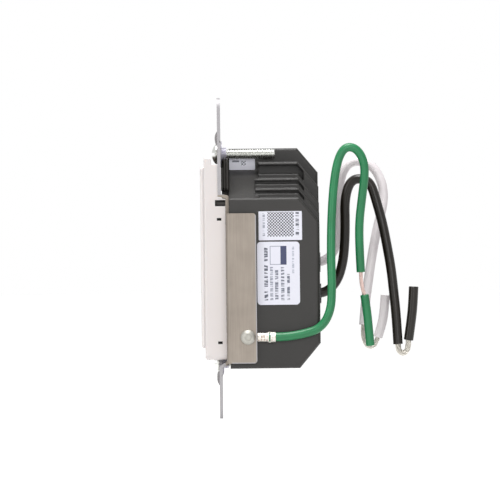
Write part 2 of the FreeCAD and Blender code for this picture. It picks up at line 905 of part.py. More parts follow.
def rear_housing():
    outline = side_outline(housing_half_height, -housing_half_height)
    body = side_prism(outline, -housing_half_width, housing_half_width)
    side_edges = []
    for edge in body.Edges:
        middle = edge.CenterOfMass
        on_side = abs(abs(middle.y) - housing_half_width) < 1e-3
        if on_side and middle.x > housing_front + 0.1:
            side_edges.append(edge)
    body = body.makeFillet(housing_edge_round, side_edges)
    waste = corner_waste()
    body = body.cut(waste).cut(half_turned(waste))
    slope = chamfer_height / chamfer_depth
    corner_drop = shoulder_top - housing_wall * math.hypot(1, slope) - cavity_half_height
    cavity_bend = chamfer_start + corner_drop / slope
    back_half_height = cavity_half_height - (inner_back - cavity_bend) * slope
    deep = side_prism(
        [
            (cover_plate_back, -cavity_half_height),
            (cavity_bend, -cavity_half_height),
            (inner_back, -back_half_height),
            (inner_back, back_half_height),
            (cavity_bend, cavity_half_height),
            (cover_plate_back, cavity_half_height),
        ],
        -cavity_half_width,
        cavity_half_width,
    )
    deep = all_rounded(deep, 1.5, V(1, 0, 0))
    pocket = block(
        cover_plate_back,
        control_board_back + 0.6,
        -pocket_half_width,
        pocket_half_width,
        -pocket_half_height,
        pocket_half_height,
    )
    rebate = block(
        housing_front - 1,
        cover_plate_back,
        -cover_half_width - 0.1,
        cover_half_width + 0.1,
        cover_plate_bottom - 0.1,
        cover_plate_top + 0.1,
    )
    tower_rebate = block(
        housing_front - 1,
        cover_plate_back,
        -cover_tower_half_width - 0.1,
        cover_tower_half_width + 0.1,
        cover_tower_bottom - 0.1,
        pocket_half_height + 0.1,
    )
    body = body.cut(deep).cut(pocket).cut(rebate).cut(tower_rebate)
    for side in (1, -1):
        for end in (1, -1):
            post = rod_x(
                power_board_back, inner_back + 0.3, side * board_post_y, end * board_post_z, board_post_radius
            )
            body = body.fuse(post)
            hole = rod_x(
                housing_front - 1,
                plate_front + assembly_screw_length + 0.6,
                side * assembly_screw_y,
                end * assembly_screw_z,
                assembly_screw_radius + running_gap,
            )
            body = body.cut(hole)
            body = body.cut(hook_pocket(side, end))
    for radius, exit_place in ((line_lead_radius, line_exit), (neutral_lead_radius, neutral_exit)):
        body = body.cut(
            rod_x(cavity_bend, housing_back + 1, exit_place[0], exit_place[1], radius + bushing_wall)
        )
    ground_bottom = -housing_half_width + ground_hole_depth
    ground_bore = ground_shank_radius + assembly_hole_room
    body = body.cut(rod_y(-housing_half_width - 1, ground_bottom, ground_x, ground_z, ground_bore))
    return body.removeSplitter()


def hook_pocket(across, side):
    centre = across * (frame_half_width - frame_wall / 2)
    half = hook_width / 2 + hook_room + running_gap
    reach = hook_thickness / 2 + hook_room + running_gap
    return block(
        housing_front - 1,
        frame_back + hook_reach + 0.4,
        centre - reach,
        centre + reach,
        side * hook_z - half,
        side * hook_z + half,
    )


def switch_case(z):
    half = switch_case_size / 2
    case = block(switch_case_front, control_board_front, -half, half, z - half, z + half)
    case = all_rounded(case, 0.5, V(1, 0, 0))
    bore = rod_x(
        switch_case_front - 1, switch_case_front + switch_bore_depth, 0, z, stem_radius + running_gap
    )
    return case.cut(bore)


def switch_stem(z):
    stem = rod_x(stem_front, stem_front + stem_length, 0, z, stem_radius)
    ends = [e for e in stem.Edges if e.Closed and e.CenterOfMass.x < stem_front + 0.1]
    return stem.makeFillet(0.2, ends)


def control_board():
    board = block(
        control_board_front,
        control_board_back,
        -control_board_half_width,
        control_board_half_width,
        -control_board_half_height,
        control_board_half_height,
    )
    return all_rounded(board, 1.0, V(1, 0, 0))


def power_board():
    board = block(
        power_board_front,
        power_board_back,
        -power_board_half_width,
        power_board_half_width,
        -power_board_half_height,
        power_board_half_height,
    )
    board = all_rounded(board, 1.5, V(1, 0, 0))
    return board


def board_connector():
    low = connector_z - connector_height / 2
    half = connector_width / 2
    header = block(control_board_back, power_board_front, -half, half, low, low + connector_height)
    return all_rounded(header, 0.3, V(1, 0, 0))


def radio_module():
    base_back = control_board_back + radio_base
    low = radio_z - radio_height / 2
    half = radio_width / 2
    base = block(control_board_back, base_back, -half, half, low, low + radio_height)
    shield_low = low + (radio_width - radio_shield_width)
    half = radio_shield_width / 2
    shield_high = shield_low + radio_shield_height
    shield = block(base_back, base_back + radio_shield_depth, -half, half, shield_low, shield_high)
    shield = all_rounded(shield, radio_base, V(1, 0, 0))
    return joined([base, shield])


def power_transformer():
    front = power_board_back
    back = front + transformer_depth
    middle_y = transformer_width / 2 - post_inner_y + board_edge_room
    near = middle_y - transformer_width / 2
    far = middle_y + transformer_width / 2
    low = transformer_z - transformer_height / 2
    high = low + transformer_height
    limb = transformer_limb
    core = block(front, back, near, far, low, high)
    core = all_rounded(core, limb / 2, V(1, 0, 0))
    core = core.cut(block(front + limb, back - limb, near - 1, far + 1, low + limb, high - limb))
    half = winding_length / 2
    winding = rod_y(middle_y - half, middle_y + half, (front + back) / 2, transformer_z, winding_radius)
    return joined([core, winding])


def filter_capacitor():
    y = post_inner_y - board_edge_room / 2 - capacitor_radius
    top = power_board_back + capacitor_length
    neck = power_board_back + capacitor_radius / 2
    can = rod_x(power_board_back, top, y, capacitor_z, capacitor_radius)
    band = rod_x(neck, neck + capacitor_groove * 2, y, capacitor_z, capacitor_radius + 1)
    core = rod_x(neck - 1, neck + 2, y, capacitor_z, capacitor_radius - capacitor_groove)
    can = can.cut(band.cut(core))
    rim = [e for e in can.Edges if e.Closed and e.CenterOfMass.x > top - 0.1]
    return can.makeChamfer(capacitor_groove, rim)


def fuse_resistor():
    near = resistor_y - resistor_length / 2
    far = near + resistor_length
    axis_x = power_board_back + resistor_radius + running_gap
    body = rod_y(near, far, axis_x, resistor_z, resistor_radius)
    near -= resistor_lead_reach
    far += resistor_lead_reach
    pieces = [body, rod_y(near, far, axis_x, resistor_z, resistor_lead_radius)]
    for y in (near, far):
        pieces.append(rod_x(power_board_back, axis_x, y, resistor_z, resistor_lead_radius))
    return joined(pieces)


def rectifier():
    far = post_inner_y - board_edge_room
    low = rectifier_z - rectifier_height / 2
    back = power_board_back + rectifier_depth
    case = block(power_board_back, back, far - rectifier_width, far, low, low + rectifier_height)
    return all_rounded(case, 0.5, V(1, 0, 0))


def lead_terminals():
    posts = []
    for radius, exit_place in ((line_lead_radius, line_exit), (neutral_lead_radius, neutral_exit)):
        y, z = exit_place
        post = rod_x(power_board_back, lead_start_x, y, z, radius)
        waist = rod_x(power_board_back + 0.8, lead_start_x - 0.6, y, z, radius + 1)
        waist = waist.cut(rod_x(power_board_back, lead_start_x, y, z, radius * 0.7))
        posts.append(post.cut(waist))
    return Part.makeCompound(posts)


def assembly_screws():
    screws = []
    for side in (1, -1):
        for end in (1, -1):
            y = side * assembly_screw_y
            z = end * assembly_screw_z
            shank = rod_x(plate_front, plate_front + assembly_screw_length, y, z, assembly_screw_radius)
            head = rod_x(plate_front - assembly_screw_head_height, plate_front, y, z, assembly_screw_head_radius)
            rim = [e for e in head.Edges if e.Closed and e.CenterOfMass.x < plate_front - 0.5]
            head = head.makeChamfer(0.4, rim)
            drive = rod_x(plate_front - 2, plate_front - 0.4, y, z, 0.7)
            screws.append(joined([shank, head]).cut(drive))
    return Part.makeCompound(screws)


def bushing(radius, exit_place):
    y, z = exit_place
    outer = rod_x(inner_back - 0.6, housing_back, y, z, radius + bushing_wall)
    flange = rod_x(housing_back, housing_back + bushing_flange_length, y, z, bushing_flange_radius)
    bore = rod_x(inner_back - 2, housing_back + 2, y, z, radius + running_gap)
    return joined([outer, flange]).cut(bore)


def ground_screw():
    seat = -wing_half_width
    shank = rod_y(seat, seat + ground_shank_length, ground_x, ground_z, ground_shank_radius)
    rise = ground_head_height - 0.4
    crown = (ground_head_radius**2 + rise**2) / (2 * rise)
    ball = Part.makeSphere(crown, V(ground_x, seat - ground_head_height + crown, ground_z))
    barrel = rod_y(seat - ground_head_height - 1, seat, ground_x, ground_z, ground_head_radius)
    head = ball.common(barrel)
    front = seat - ground_head_height
    hollow = rod_y(front - 1, front + ground_drive_depth, ground_x, ground_z, ground_drive_radius)
    return joined([shank, head]).cut(hollow)


def ground_terminal():
    outer = -flange_inner_y
    inner = outer + terminal_thickness
    ring = rod_y(outer, inner, ground_x, ground_z, terminal_ring_radius)
    neck = block(
        ground_x + 1.0,
        terminal_barrel_start + terminal_overlap,
        outer,
        inner,
        ground_z - terminal_neck_half_width,
        ground_z + terminal_neck_half_width,
    )
    barrel_y = ground_lead_y
    barrel_end = terminal_barrel_start + terminal_barrel_length
    barrel = rod_x(terminal_barrel_start, barrel_end, barrel_y, ground_z, terminal_barrel_radius)
    pinch = block(
        terminal_barrel_start + terminal_pinch,
        barrel_end - terminal_pinch,
        barrel_y - 3,
        barrel_y - terminal_barrel_radius + terminal_grip_wall,
        ground_z - 3,
        ground_z + 3,
    )
    barrel = barrel.cut(pinch)
    grip_radius = ground_lead_radius + terminal_grip_wall
    grip = rod_x(barrel_end, barrel_end + terminal_grip_length, barrel_y, ground_z, grip_radius)
    lead_room = rod_x(
        barrel_end, barrel_end + terminal_grip_length + 1, barrel_y, ground_z, ground_lead_radius + 0.02
    )
    band = block(barrel_end + 0.4, barrel_end + 0.9, barrel_y - 3, barrel_y, ground_z - 3, ground_z + 3)
    grip = grip.cut(lead_room).cut(band)
    hole = rod_y(outer - 1, inner + 1, ground_x, ground_z, ground_shank_radius + running_gap)
    return joined([ring, neck, barrel, grip]).cut(hole)


def label(x_span, z_span, y, corner):
    plate = block(x_span[0], x_span[1], y - label_thickness, y, z_span[0], z_span[1])
    return all_rounded(plate, corner, V(0, 1, 0))


# Lead routes, as points chosen by hand along each lead
ground_route = [
    V(15.0, ground_lead_y, ground_z),
    V(20.4, ground_lead_y, ground_z),
    V(26.5, ground_lead_y, ground_z + 0.9),
    V(32.1, ground_lead_y + 0.1, -22.4),
    V(35.4, ground_lead_y + 0.6, -16.9),
    V(36.3, ground_lead_y + 1.5, -9.7),
    V(36.1, ground_lead_y + 2.6, -1.4),
    V(36.2, ground_lead_y + 3.6, 7.4),
    V(36.6, ground_lead_y + 4.3, 16.2),
    V(37.0, ground_lead_y + 4.8, 24.4),
    V(37.4, ground_lead_y + 4.9, 31.4),
    V(38.8, ground_lead_y + 5.0, 35.8),
    V(41.6, ground_lead_y + 5.2, 38.0),
    V(44.8, ground_lead_y + 5.4, 37.4),
    V(47.1, ground_lead_y + 5.7, 34.3),
    V(47.8, ground_lead_y + 6.1, 28.6),
    V(46.7, ground_lead_y + 6.8, 20.2),
    V(45.6, ground_lead_y + 7.3, 11.6),
    V(45.6, ground_lead_y + 7.7, 3.2),
    V(46.0, ground_lead_y + 7.9, -5.0),
]
ground_strand_route = [
    V(46.0, ground_lead_y + 7.9, -5.0),
    V(46.1, ground_lead_y + 7.9, -7.8),
    V(46.4, ground_lead_y + 7.9, -10.3),
    V(47.1, ground_lead_y + 7.9, -12.5),
]
ground_slug_route = [
    V(47.1, ground_lead_y + 7.9, -12.5),
    V(47.9, ground_lead_y + 8.2, -17.7),
    V(48.4, ground_lead_y + 8.5, -23.5),
    V(48.9, ground_lead_y + 8.7, -29.4),
]
line_route = [
    V(lead_start_x, line_exit[0], line_exit[1]),
    V(28.0, line_exit[0], line_exit[1]),
    V(34.6, line_exit[0], line_exit[1] + 0.08),
    V(38.5, 0.0, -8.2),
    V(40.4, -0.4, -2.2),
    V(41.1, -1.0, 4.4),
    V(41.3, -1.6, 11.3),
    V(41.2, -2.1, 18.2),
    V(41.6, -2.5, 24.1),
    V(44.0, -2.9, 26.8),
    V(47.5, -3.3, 26.9),
    V(50.0, -3.8, 24.2),
    V(51.7, -4.3, 18.4),
    V(53.1, -4.8, 11.3),
    V(54.6, -5.3, 3.8),
    V(56.0, -5.8, -3.9),
    V(57.1, -6.3, -12.0),
    V(57.9, -6.7, -20.4),
    V(58.3, -7.0, -29.2),
]
line_strand_route = [
    V(58.3, -7.0, -29.2),
    V(58.4, -7.0, -31.3),
    V(60.0, -7.0, -32.4),
    V(61.6, -7.0, -31.3),
    V(61.8, -7.0, -27.9),
]
line_slug_route = [
    V(61.8, -7.0, -27.9),
    V(62.7, -7.0, -22.0),
    V(63.4, -7.0, -16.1),
    V(63.7, -7.0, -10.1),
]
neutral_route = [
    V(lead_start_x, neutral_exit[0], neutral_exit[1]),
    V(28.1, neutral_exit[0], neutral_exit[1]),
    V(34.8, neutral_exit[0], neutral_exit[1] + 0.08),
    V(38.6, 10.0, 2.8),
    V(39.3, 10.0, 9.8),
    V(39.4, 9.9, 17.1),
    V(39.7, 9.8, 24.5),
    V(41.7, 9.6, 30.3),
    V(45.9, 9.4, 32.7),
    V(50.8, 9.0, 30.6),
    V(54.1, 8.4, 24.9),
    V(54.9, 7.4, 18.3),
    V(52.9, 5.8, 11.5),
    V(51.1, 4.2, 4.7),
    V(49.8, 2.6, -2.4),
    V(48.7, 1.0, -9.2),
    V(47.7, -0.4, -16.1),
    V(47.1, -1.6, -22.8),
]
neutral_strand_route = [
    V(47.1, -1.6, -22.8),
    V(46.8, -2.1, -26.0),
    V(47.4, -2.3, -28.8),
    V(49.2, -2.3, -30.4),
    V(51.0, -2.2, -29.3),
    V(51.7, -2.1, -27.0),
]
neutral_slug_route = [
    V(51.7, -2.1, -27.0),
    V(53.2, -2.0, -22.8),
    V(54.0, -2.0, -17.9),
    V(54.4, -2.0, -12.9),
]


def lead_path(points):
    edges = []
    radii = []
    last = points[0]
    for index in range(1, len(points) - 1):
        corner = points[index]
        before = points[index - 1] - corner
        after = points[index + 1] - corner
        half_turn = (math.pi - before.getAngle(after)) / 2
        setback = lead_arc_share * min(before.Length, after.Length)
        radii.append(setback / math.tan(half_turn))
        entry = corner + before.normalize() * setback
        leave = corner + after.normalize() * setback
        towards_centre = (before + after).normalize()
        centre = corner + towards_centre * (radii[-1] / math.cos(half_turn))
        middle = centre - towards_centre * radii[-1]
        edges.append(Part.LineSegment(last, entry).toShape())
        edges.append(Part.Arc(entry, middle, leave).toShape())
        last = leave
    edges.append(Part.LineSegment(last, points[-1]).toShape())
    return Part.Wire(edges), radii


def lead_tube(name, points, radius):
    path, radii = lead_path(points)
    start = (points[1] - points[0]).normalize()
    section = Part.Wire(Part.Circle(points[0], start, radius).toShape())
    tube = path.makePipeShell([section], True, False)
    length = path.Length
    share = tube.Volume / (math.pi * radius**2 * length)
    print(name, "length", round(length, 1), "volume share", round(share, 4))
    print("  radii", [round(value, 1) for value in radii])
    save(name, tube)


save("mounting_strap", mounting_strap())
save("front_frame", front_frame())
save("paddle", paddle())
save("front_cover", front_cover())
save("rear_housing", rear_housing())
save("upper_mounting_screw", box_screw(box_screw_z))
save("lower_mounting_screw", box_screw(-box_screw_z))
save("upper_screw_retainer", screw_retainer(box_screw_z))
save("lower_screw_retainer", screw_retainer(-box_screw_z))
save("upper_switch_case", switch_case(paddle_middle_z + presser_arm))
save("lower_switch_case", switch_case(paddle_middle_z - presser_arm))
save("upper_switch_stem", switch_stem(paddle_middle_z + presser_arm))
save("lower_switch_stem", switch_stem(paddle_middle_z - presser_arm))
save("control_board", control_board())
save("power_board", power_board())
save("board_connector", board_connector())
save("radio_module", radio_module())
save("power_transformer", power_transformer())
save("filter_capacitor", filter_capacitor())
save("fuse_resistor", fuse_resistor())
save("rectifier", rectifier())
save("lead_terminals", lead_terminals())
save("assembly_screws", assembly_screws())
save("line_lead_bushing", bushing(line_lead_radius, line_exit))
save("neutral_lead_bushing", bushing(neutral_lead_radius, neutral_exit))
save("ground_screw", ground_screw())
save("ground_terminal", ground_terminal())
save("rating_label", label(rating_label_x, rating_label_z, -housing_half_width, rating_label_corner))
save("code_label", label(code_label_x, code_label_z, -housing_half_width, printed_label_corner))
save("corner_label", label(corner_label_x, corner_label_z, screw_wall_y, printed_label_corner))
lead_tube("ground_lead", ground_route, ground_lead_radius)
lead_tube("ground_lead_strands", ground_strand_route, ground_strand_radius)
lead_tube("ground_lead_slug", ground_slug_route, ground_lead_radius)
lead_tube("line_lead", line_route, line_lead_radius)
lead_tube("line_lead_strands", line_strand_route, strand_radius)
lead_tube("line_lead_slug", line_slug_route, line_lead_radius)
lead_tube("neutral_lead", neutral_route, neutral_lead_radius)
lead_tube("neutral_lead_strands", neutral_strand_route, strand_radius)
lead_tube("neutral_lead_slug", neutral_slug_route, neutral_lead_radius)
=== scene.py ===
import json
import math

import bmesh
import bpy
from mathutils import Matrix, Vector

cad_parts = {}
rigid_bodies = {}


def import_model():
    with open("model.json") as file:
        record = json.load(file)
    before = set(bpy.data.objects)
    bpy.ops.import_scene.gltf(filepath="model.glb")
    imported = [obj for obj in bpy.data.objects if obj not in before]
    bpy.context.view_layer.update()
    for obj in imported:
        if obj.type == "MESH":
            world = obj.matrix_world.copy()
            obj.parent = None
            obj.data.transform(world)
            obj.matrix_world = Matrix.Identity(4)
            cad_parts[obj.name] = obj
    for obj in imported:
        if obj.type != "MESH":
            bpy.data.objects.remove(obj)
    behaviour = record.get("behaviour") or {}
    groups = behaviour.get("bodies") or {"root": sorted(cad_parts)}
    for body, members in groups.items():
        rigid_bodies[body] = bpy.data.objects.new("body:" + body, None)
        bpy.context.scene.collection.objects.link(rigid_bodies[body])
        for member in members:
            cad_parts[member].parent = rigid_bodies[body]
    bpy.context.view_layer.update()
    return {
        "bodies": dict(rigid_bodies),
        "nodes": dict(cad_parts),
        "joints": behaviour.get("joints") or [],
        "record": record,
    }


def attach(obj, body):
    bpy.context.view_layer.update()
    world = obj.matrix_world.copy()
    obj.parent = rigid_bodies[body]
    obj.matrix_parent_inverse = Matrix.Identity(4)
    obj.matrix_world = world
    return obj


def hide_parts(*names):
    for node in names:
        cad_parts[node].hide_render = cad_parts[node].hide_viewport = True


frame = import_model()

cad = frame["nodes"]
MM = 0.001


# Mounting strap. The yoke that hangs the switch on its box, pressed from one sheet of
# galvanised steel 1.1 mm thick. Its ends stand on the wall plane, its middle is sunk
# behind them, and the two sides are folded back as flanges.
def linear(hex_colour):
    """An sRGB hex value as the linear colour that a shader takes."""
    values = [int(hex_colour[i : i + 2], 16) / 255 for i in (0, 2, 4)]
    return [v / 12.92 if v <= 0.04045 else ((v + 0.055) / 1.055) ** 2.4 for v in values] + [1.0]


def add(material, kind, inputs=(), **settings):
    """Adds one shader node, with its settings, and its inputs as values or links."""
    made = material.node_tree.nodes.new("ShaderNode" + kind)
    for name, value in settings.items():
        setattr(made, name, value)
    for socket, value in dict(inputs).items():
        if isinstance(value, bpy.types.NodeSocket):
            material.node_tree.links.new(value, made.inputs[socket])
        else:
            made.inputs[socket].default_value = value
    return made


def new_material(name):
    """An empty material with its surface shader, its output and the object's own coordinates."""
    material = bpy.data.materials.new(name)
    material.use_nodes = True
    material.node_tree.nodes.clear()
    shader = add(material, "BsdfPrincipled")
    add(material, "OutputMaterial", {"Surface": shader.outputs["BSDF"]})
    place = add(material, "TexCoord").outputs["Object"]
    return material, shader, place


def feed(material, shader, **sources):
    """Links an output to each named input of the surface shader."""
    for name, source in sources.items():
        material.node_tree.links.new(source, shader.inputs[name.replace("_", " ")])


def dress(node, material):
    """Gives a carried-over CAD node its finish."""
    slots = cad[node].data.materials
    slots.clear()
    slots.append(material)


# Per metre, so the grain is 0.3 mm across and 11 mm along the strap
grain_scale = (3300, 3300, 90)
# The sheared edges: round the flat ends, and along the flanges' backs and feet
strap_end_from = 21 * MM
strap_end_depth = 1 * MM
broad_face_normal = 0.6
flange_from = 3 * MM
flange_back_edge = (11.0 * MM, 11.25 * MM)
flange_foot_edge = (-34.15 * MM, -34.5 * MM)


def sheet_steel():
    """Galvanised steel sheet, rolled along the strap: a warm grey satin with faint
    upright grain 0.3 mm apart and soft cloudy spots in the zinc. Where the sheet was
    sheared, its bare edges are paler, cooler and rougher."""
    material, shader, place = new_material("galvanised_steel_rolled")
    shader.inputs["Metallic"].default_value = 1.0
    stretched = add(material, "Mapping", {"Vector": place, "Scale": grain_scale})
    grain = add(material, "TexNoise", {"Vector": stretched.outputs[0], "Scale": 1.0, "Detail": 3.0})
    cloud = add(material, "TexNoise", {"Vector": place, "Scale": 160.0, "Detail": 2.0})
    both = add(material, "Mix", {"Factor": 0.45, 2: cloud.outputs["Fac"], 3: grain.outputs["Fac"]})
    tint = add(material, "ValToRGB", {"Fac": both.outputs[0]})
    tint.color_ramp.elements[0].position = 0.3
    tint.color_ramp.elements[0].color = linear("7b736b")
    tint.color_ramp.elements[1].position = 0.7
    tint.color_ramp.elements[1].color = linear("8d857c")
    axes = add(material, "SeparateXYZ", {"Vector": place})
    facing = add(material, "SeparateXYZ", {"Vector": add(material, "TexCoord").outputs["Normal"]})
    level = add(material, "Math", {0: axes.outputs[2]}, operation="ABSOLUTE")
    ends = add(material, "Math", {0: level.outputs[0], 1: strap_end_from}, operation="GREATER_THAN")
    broad = add(material, "Math", {0: facing.outputs[0]}, operation="ABSOLUTE")
    narrow = add(
        material, "Math", {0: broad.outputs[0], 1: broad_face_normal}, operation="LESS_THAN"
    )
    thin = add(material, "Math", {0: axes.outputs[0], 1: strap_end_depth}, operation="LESS_THAN")
    edge = add(material, "Math", {0: narrow.outputs[0], 1: thin.outputs[0]}, operation="MULTIPLY")
    end_edge = add(material, "Math", {0: ends.outputs[0], 1: edge.outputs[0]}, operation="MULTIPLY")
    back_start, back_full = flange_back_edge
    foot_start, foot_full = flange_foot_edge
    back_lip = add(
        material,
        "MapRange",
        {"Value": axes.outputs[0], "From Min": back_start, "From Max": back_full},
    )
    low_lip = add(
        material,
        "MapRange",
        {"Value": axes.outputs[2], "From Min": foot_start, "From Max": foot_full},
    )
    wide = add(material, "Math", {0: axes.outputs[0], 1: flange_from}, operation="GREATER_THAN")
    flange_lip = add(material, "Math", {0: low_lip.outputs[0], 1: wide.outputs[0]}, operation="MULTIPLY")
    lips = add(material, "Math", {0: back_lip.outputs[0], 1: flange_lip.outputs[0]}, operation="MAXIMUM")
    sheared = add(material, "Math", {0: end_edge.outputs[0], 1: lips.outputs[0]}, operation="MAXIMUM")
    colour = add(
        material,
        "Mix",
        {"Factor": sheared.outputs[0], 6: tint.outputs[0], 7: linear("989698")},
        data_type="RGBA",
    )
    rough = add(material, "MapRange", {"Value": both.outputs[0], "To Min": 0.45, "To Max": 0.6})
    torn = add(material, "Mix", {"Factor": sheared.outputs[0], 2: rough.outputs[0], 3: 0.62})
    bump = add(material, "Bump", {"Height": grain.outputs["Fac"], "Strength": 0.12, "Distance": 0.00004})
    feed(
        material, shader, Base_Color=colour.outputs[2], Roughness=torn.outputs[0], Normal=bump.outputs[0]
    )
    return material


steel_sheet = sheet_steel()
dress("mounting_strap", steel_sheet)


# Front cover and rear housing. The black cover fills the space behind the strap and
# carries the mechanism; its top is ribbed. The dark grey cup behind it is flame-proof ABS,
# a fine matt from its spark-eroded tool, with terraces round the upper screw.
def matt_moulding(name, colour, lighter, roughness, grit_mm, depth_mm):
    """Moulded ABS with the fine spark-eroded texture of its tool: an even dark matt
    that turns paler where light grazes it, with its corners shaded soft over 0.8 mm."""
    material, shader, place = new_material(name)
    grit = add(material, "TexNoise", {"Vector": place, "Scale": 1 / (grit_mm * MM), "Detail": 2.0})
    cloud = add(material, "TexNoise", {"Vector": place, "Scale": 55.0, "Detail": 2.0})
    tint = add(material, "ValToRGB", {"Fac": cloud.outputs["Fac"]})
    tint.color_ramp.elements[0].position = 0.35
    tint.color_ramp.elements[0].color = linear(colour)
    tint.color_ramp.elements[1].position = 0.65
    tint.color_ramp.elements[1].color = linear(lighter)
    spread = add(
        material,
        "MapRange",
        {"Value": grit.outputs["Fac"], "To Min": roughness - 0.05, "To Max": roughness + 0.08},
    )
    corner = 0.8 * MM
    soft_edge = add(material, "Bevel", {"Radius": corner})
    bump = add(
        material,
        "Bump",
        {
            "Height": grit.outputs["Fac"],
            "Strength": 0.35,
            "Distance": depth_mm * MM,
            "Normal": soft_edge.outputs["Normal"],
        },
    )
    shader.inputs["IOR"].default_value = 1.54
    shader.inputs["Specular IOR Level"].default_value = 0.35
    feed(material, shader, Base_Color=tint.outputs[0], Roughness=spread.outputs[0], Normal=bump.outputs[0])
    return material


# Grit 0.25 mm apart is drawn at 0.5 mm, and at 0.8 mm on the black mouldings, so that the
# picture shows it
housing_abs = matt_moulding("abs_spark_eroded_dark_grey", "201e1c", "262422", 0.44, 0.5, 0.02)
cover_abs = matt_moulding("abs_moulded_black", "1c1813", "211c17", 0.4, 0.8, 0.01)
dress("rear_housing", housing_abs)
dress("front_cover", cover_abs)


# What sits in the closed housing: two glass-epoxy boards and the parts soldered to
# them, out of sight, with four small screws and the two black collars that show on the
# back, where the leads leave. Green solder mask, black nylon, tinned metal, ferrite.
def plain_part(name, colour, roughness, metallic=0.0):
    """A part's own colour with the slight unevenness of a moulded or plated surface."""
    material, shader, place = new_material(name)
    shader.inputs["Metallic"].default_value = metallic
    patch = 1.5 * MM
    darker = 0.12
    cloud = add(material, "TexNoise", {"Vector": place, "Scale": 1 / patch, "Detail": 2.0})
    tint = add(material, "ValToRGB", {"Fac": cloud.outputs["Fac"]})
    base = linear(colour)
    tint.color_ramp.elements[0].position = 0.3
    tint.color_ramp.elements[0].color = [v * (1 - darker) for v in base[:3]] + [1]
    tint.color_ramp.elements[1].position = 0.7
    tint.color_ramp.elements[1].color = base
    rough = add(
        material,
        "MapRange",
        {"Value": cloud.outputs["Fac"], "To Min": roughness - 0.05, "To Max": roughness + 0.05},
    )
    feed(material, shader, Base_Color=tint.outputs[0], Roughness=rough.outputs[0])
    return material


board_epoxy = plain_part("glass_epoxy_green_mask", "1f6b45", 0.3)
black_nylon = plain_part("nylon_moulded_black", "24242a", 0.45)
tinned_metal = plain_part("tinned_steel", "c9c8c4", 0.3, metallic=1.0)
ferrite = plain_part("ferrite_pressed", "3a3836", 0.6)
sleeve_film = plain_part("pvc_sleeve_grey", "4d5566", 0.35)
resin_coat = plain_part("resistor_lacquer", "7ea3a0", 0.4)
stem_acetal = plain_part("acetal_moulded_ivory", "d9d4c6", 0.35)
for node, material in (
    ("control_board", board_epoxy),
    ("power_board", board_epoxy),
    ("board_connector", black_nylon),
    ("radio_module", tinned_metal),
    ("power_transformer", ferrite),
    ("filter_capacitor", sleeve_film),
    ("fuse_resistor", resin_coat),
    ("rectifier", black_nylon),
    ("lead_terminals", tinned_metal),
    ("upper_switch_case", black_nylon),
    ("lower_switch_case", black_nylon),
    ("upper_switch_stem", stem_acetal),
    ("lower_switch_stem", stem_acetal),
    ("line_lead_bushing", black_nylon),
    ("neutral_lead_bushing", black_nylon),
    ("assembly_screws", tinned_metal),
):
    dress(node, material)


# Front frame and paddle. White ABS, moulded and polished in the tool: smooth with a
# soft gloss, slightly warm, with a little light coming through at thin edges.
def glossy_moulding(name, colour, shade, roughness):
    """Polished white ABS: even colour, a soft gloss and very faint flow waves."""
    material, shader, place = new_material(name)
    cloud = add(material, "TexNoise", {"Vector": place, "Scale": 45.0, "Detail": 1.0})
    tint = add(material, "ValToRGB", {"Fac": cloud.outputs["Fac"]})
    tint.color_ramp.elements[0].color = linear(shade)
    tint.color_ramp.elements[1].color = linear(colour)
    wave = add(material, "TexNoise", {"Vector": place, "Scale": 90.0, "Detail": 0.0})
    rough = add(
        material,
        "MapRange",
        {"Value": wave.outputs["Fac"], "To Min": roughness - 0.015, "To Max": roughness + 0.015},
    )
    bump = add(material, "Bump", {"Height": wave.outputs["Fac"], "Strength": 0.03, "Distance": 0.00003})
    shader.inputs["IOR"].default_value = 1.53
    shader.inputs["Subsurface Weight"].default_value = 0.12
    shader.inputs["Subsurface Radius"].default_value = (0.0012, 0.001, 0.0008)
    shader.inputs["Subsurface Scale"].default_value = 1.0
    feed(material, shader, Base_Color=tint.outputs[0], Roughness=rough.outputs[0], Normal=bump.outputs[0])
    return material


frame_abs = glossy_moulding("abs_polished_white", "e6e0de", "e0d9d7", 0.3)
paddle_abs = glossy_moulding("abs_polished_white_paddle", "ece7e5", "e7e1df", 0.26)
dress("front_frame", frame_abs)
dress("paddle", paddle_abs)


# Captive box screws. Zinc-plated steel, cold headed and thread rolled, 3.5 mm across
# with a thread every 0.8 mm and a slotted cross drive, held by a plastic washer.
def bright_metal(name, colour, roughness):
    """A bright plated or drawn metal: its own pale colour, with small soft spots."""
    material, shader, place = new_material(name)
    shader.inputs["Metallic"].default_value = 1.0
    spots = add(material, "TexNoise", {"Vector": place, "Scale": 900.0, "Detail": 2.0})
    tint = add(material, "ValToRGB", {"Fac": spots.outputs["Fac"]})
    tint.color_ramp.elements[0].position = 0.35
    tint.color_ramp.elements[0].color = [v * 0.86 for v in linear(colour)[:3]] + [1]
    tint.color_ramp.elements[1].position = 0.65
    tint.color_ramp.elements[1].color = linear(colour)
    rough = add(
        material,
        "MapRange",
        {"Value": spots.outputs["Fac"], "To Min": roughness - 0.04, "To Max": roughness + 0.06},
    )
    feed(material, shader, Base_Color=tint.outputs[0], Roughness=rough.outputs[0])
    return material


def shown(name, mesh, material, body="switch_body"):
    """A finished mesh as a piece of the object, on its body."""
    piece = bpy.data.objects.new(name, mesh)
    bpy.context.scene.collection.objects.link(piece)
    mesh.materials.append(material)
    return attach(piece, body)


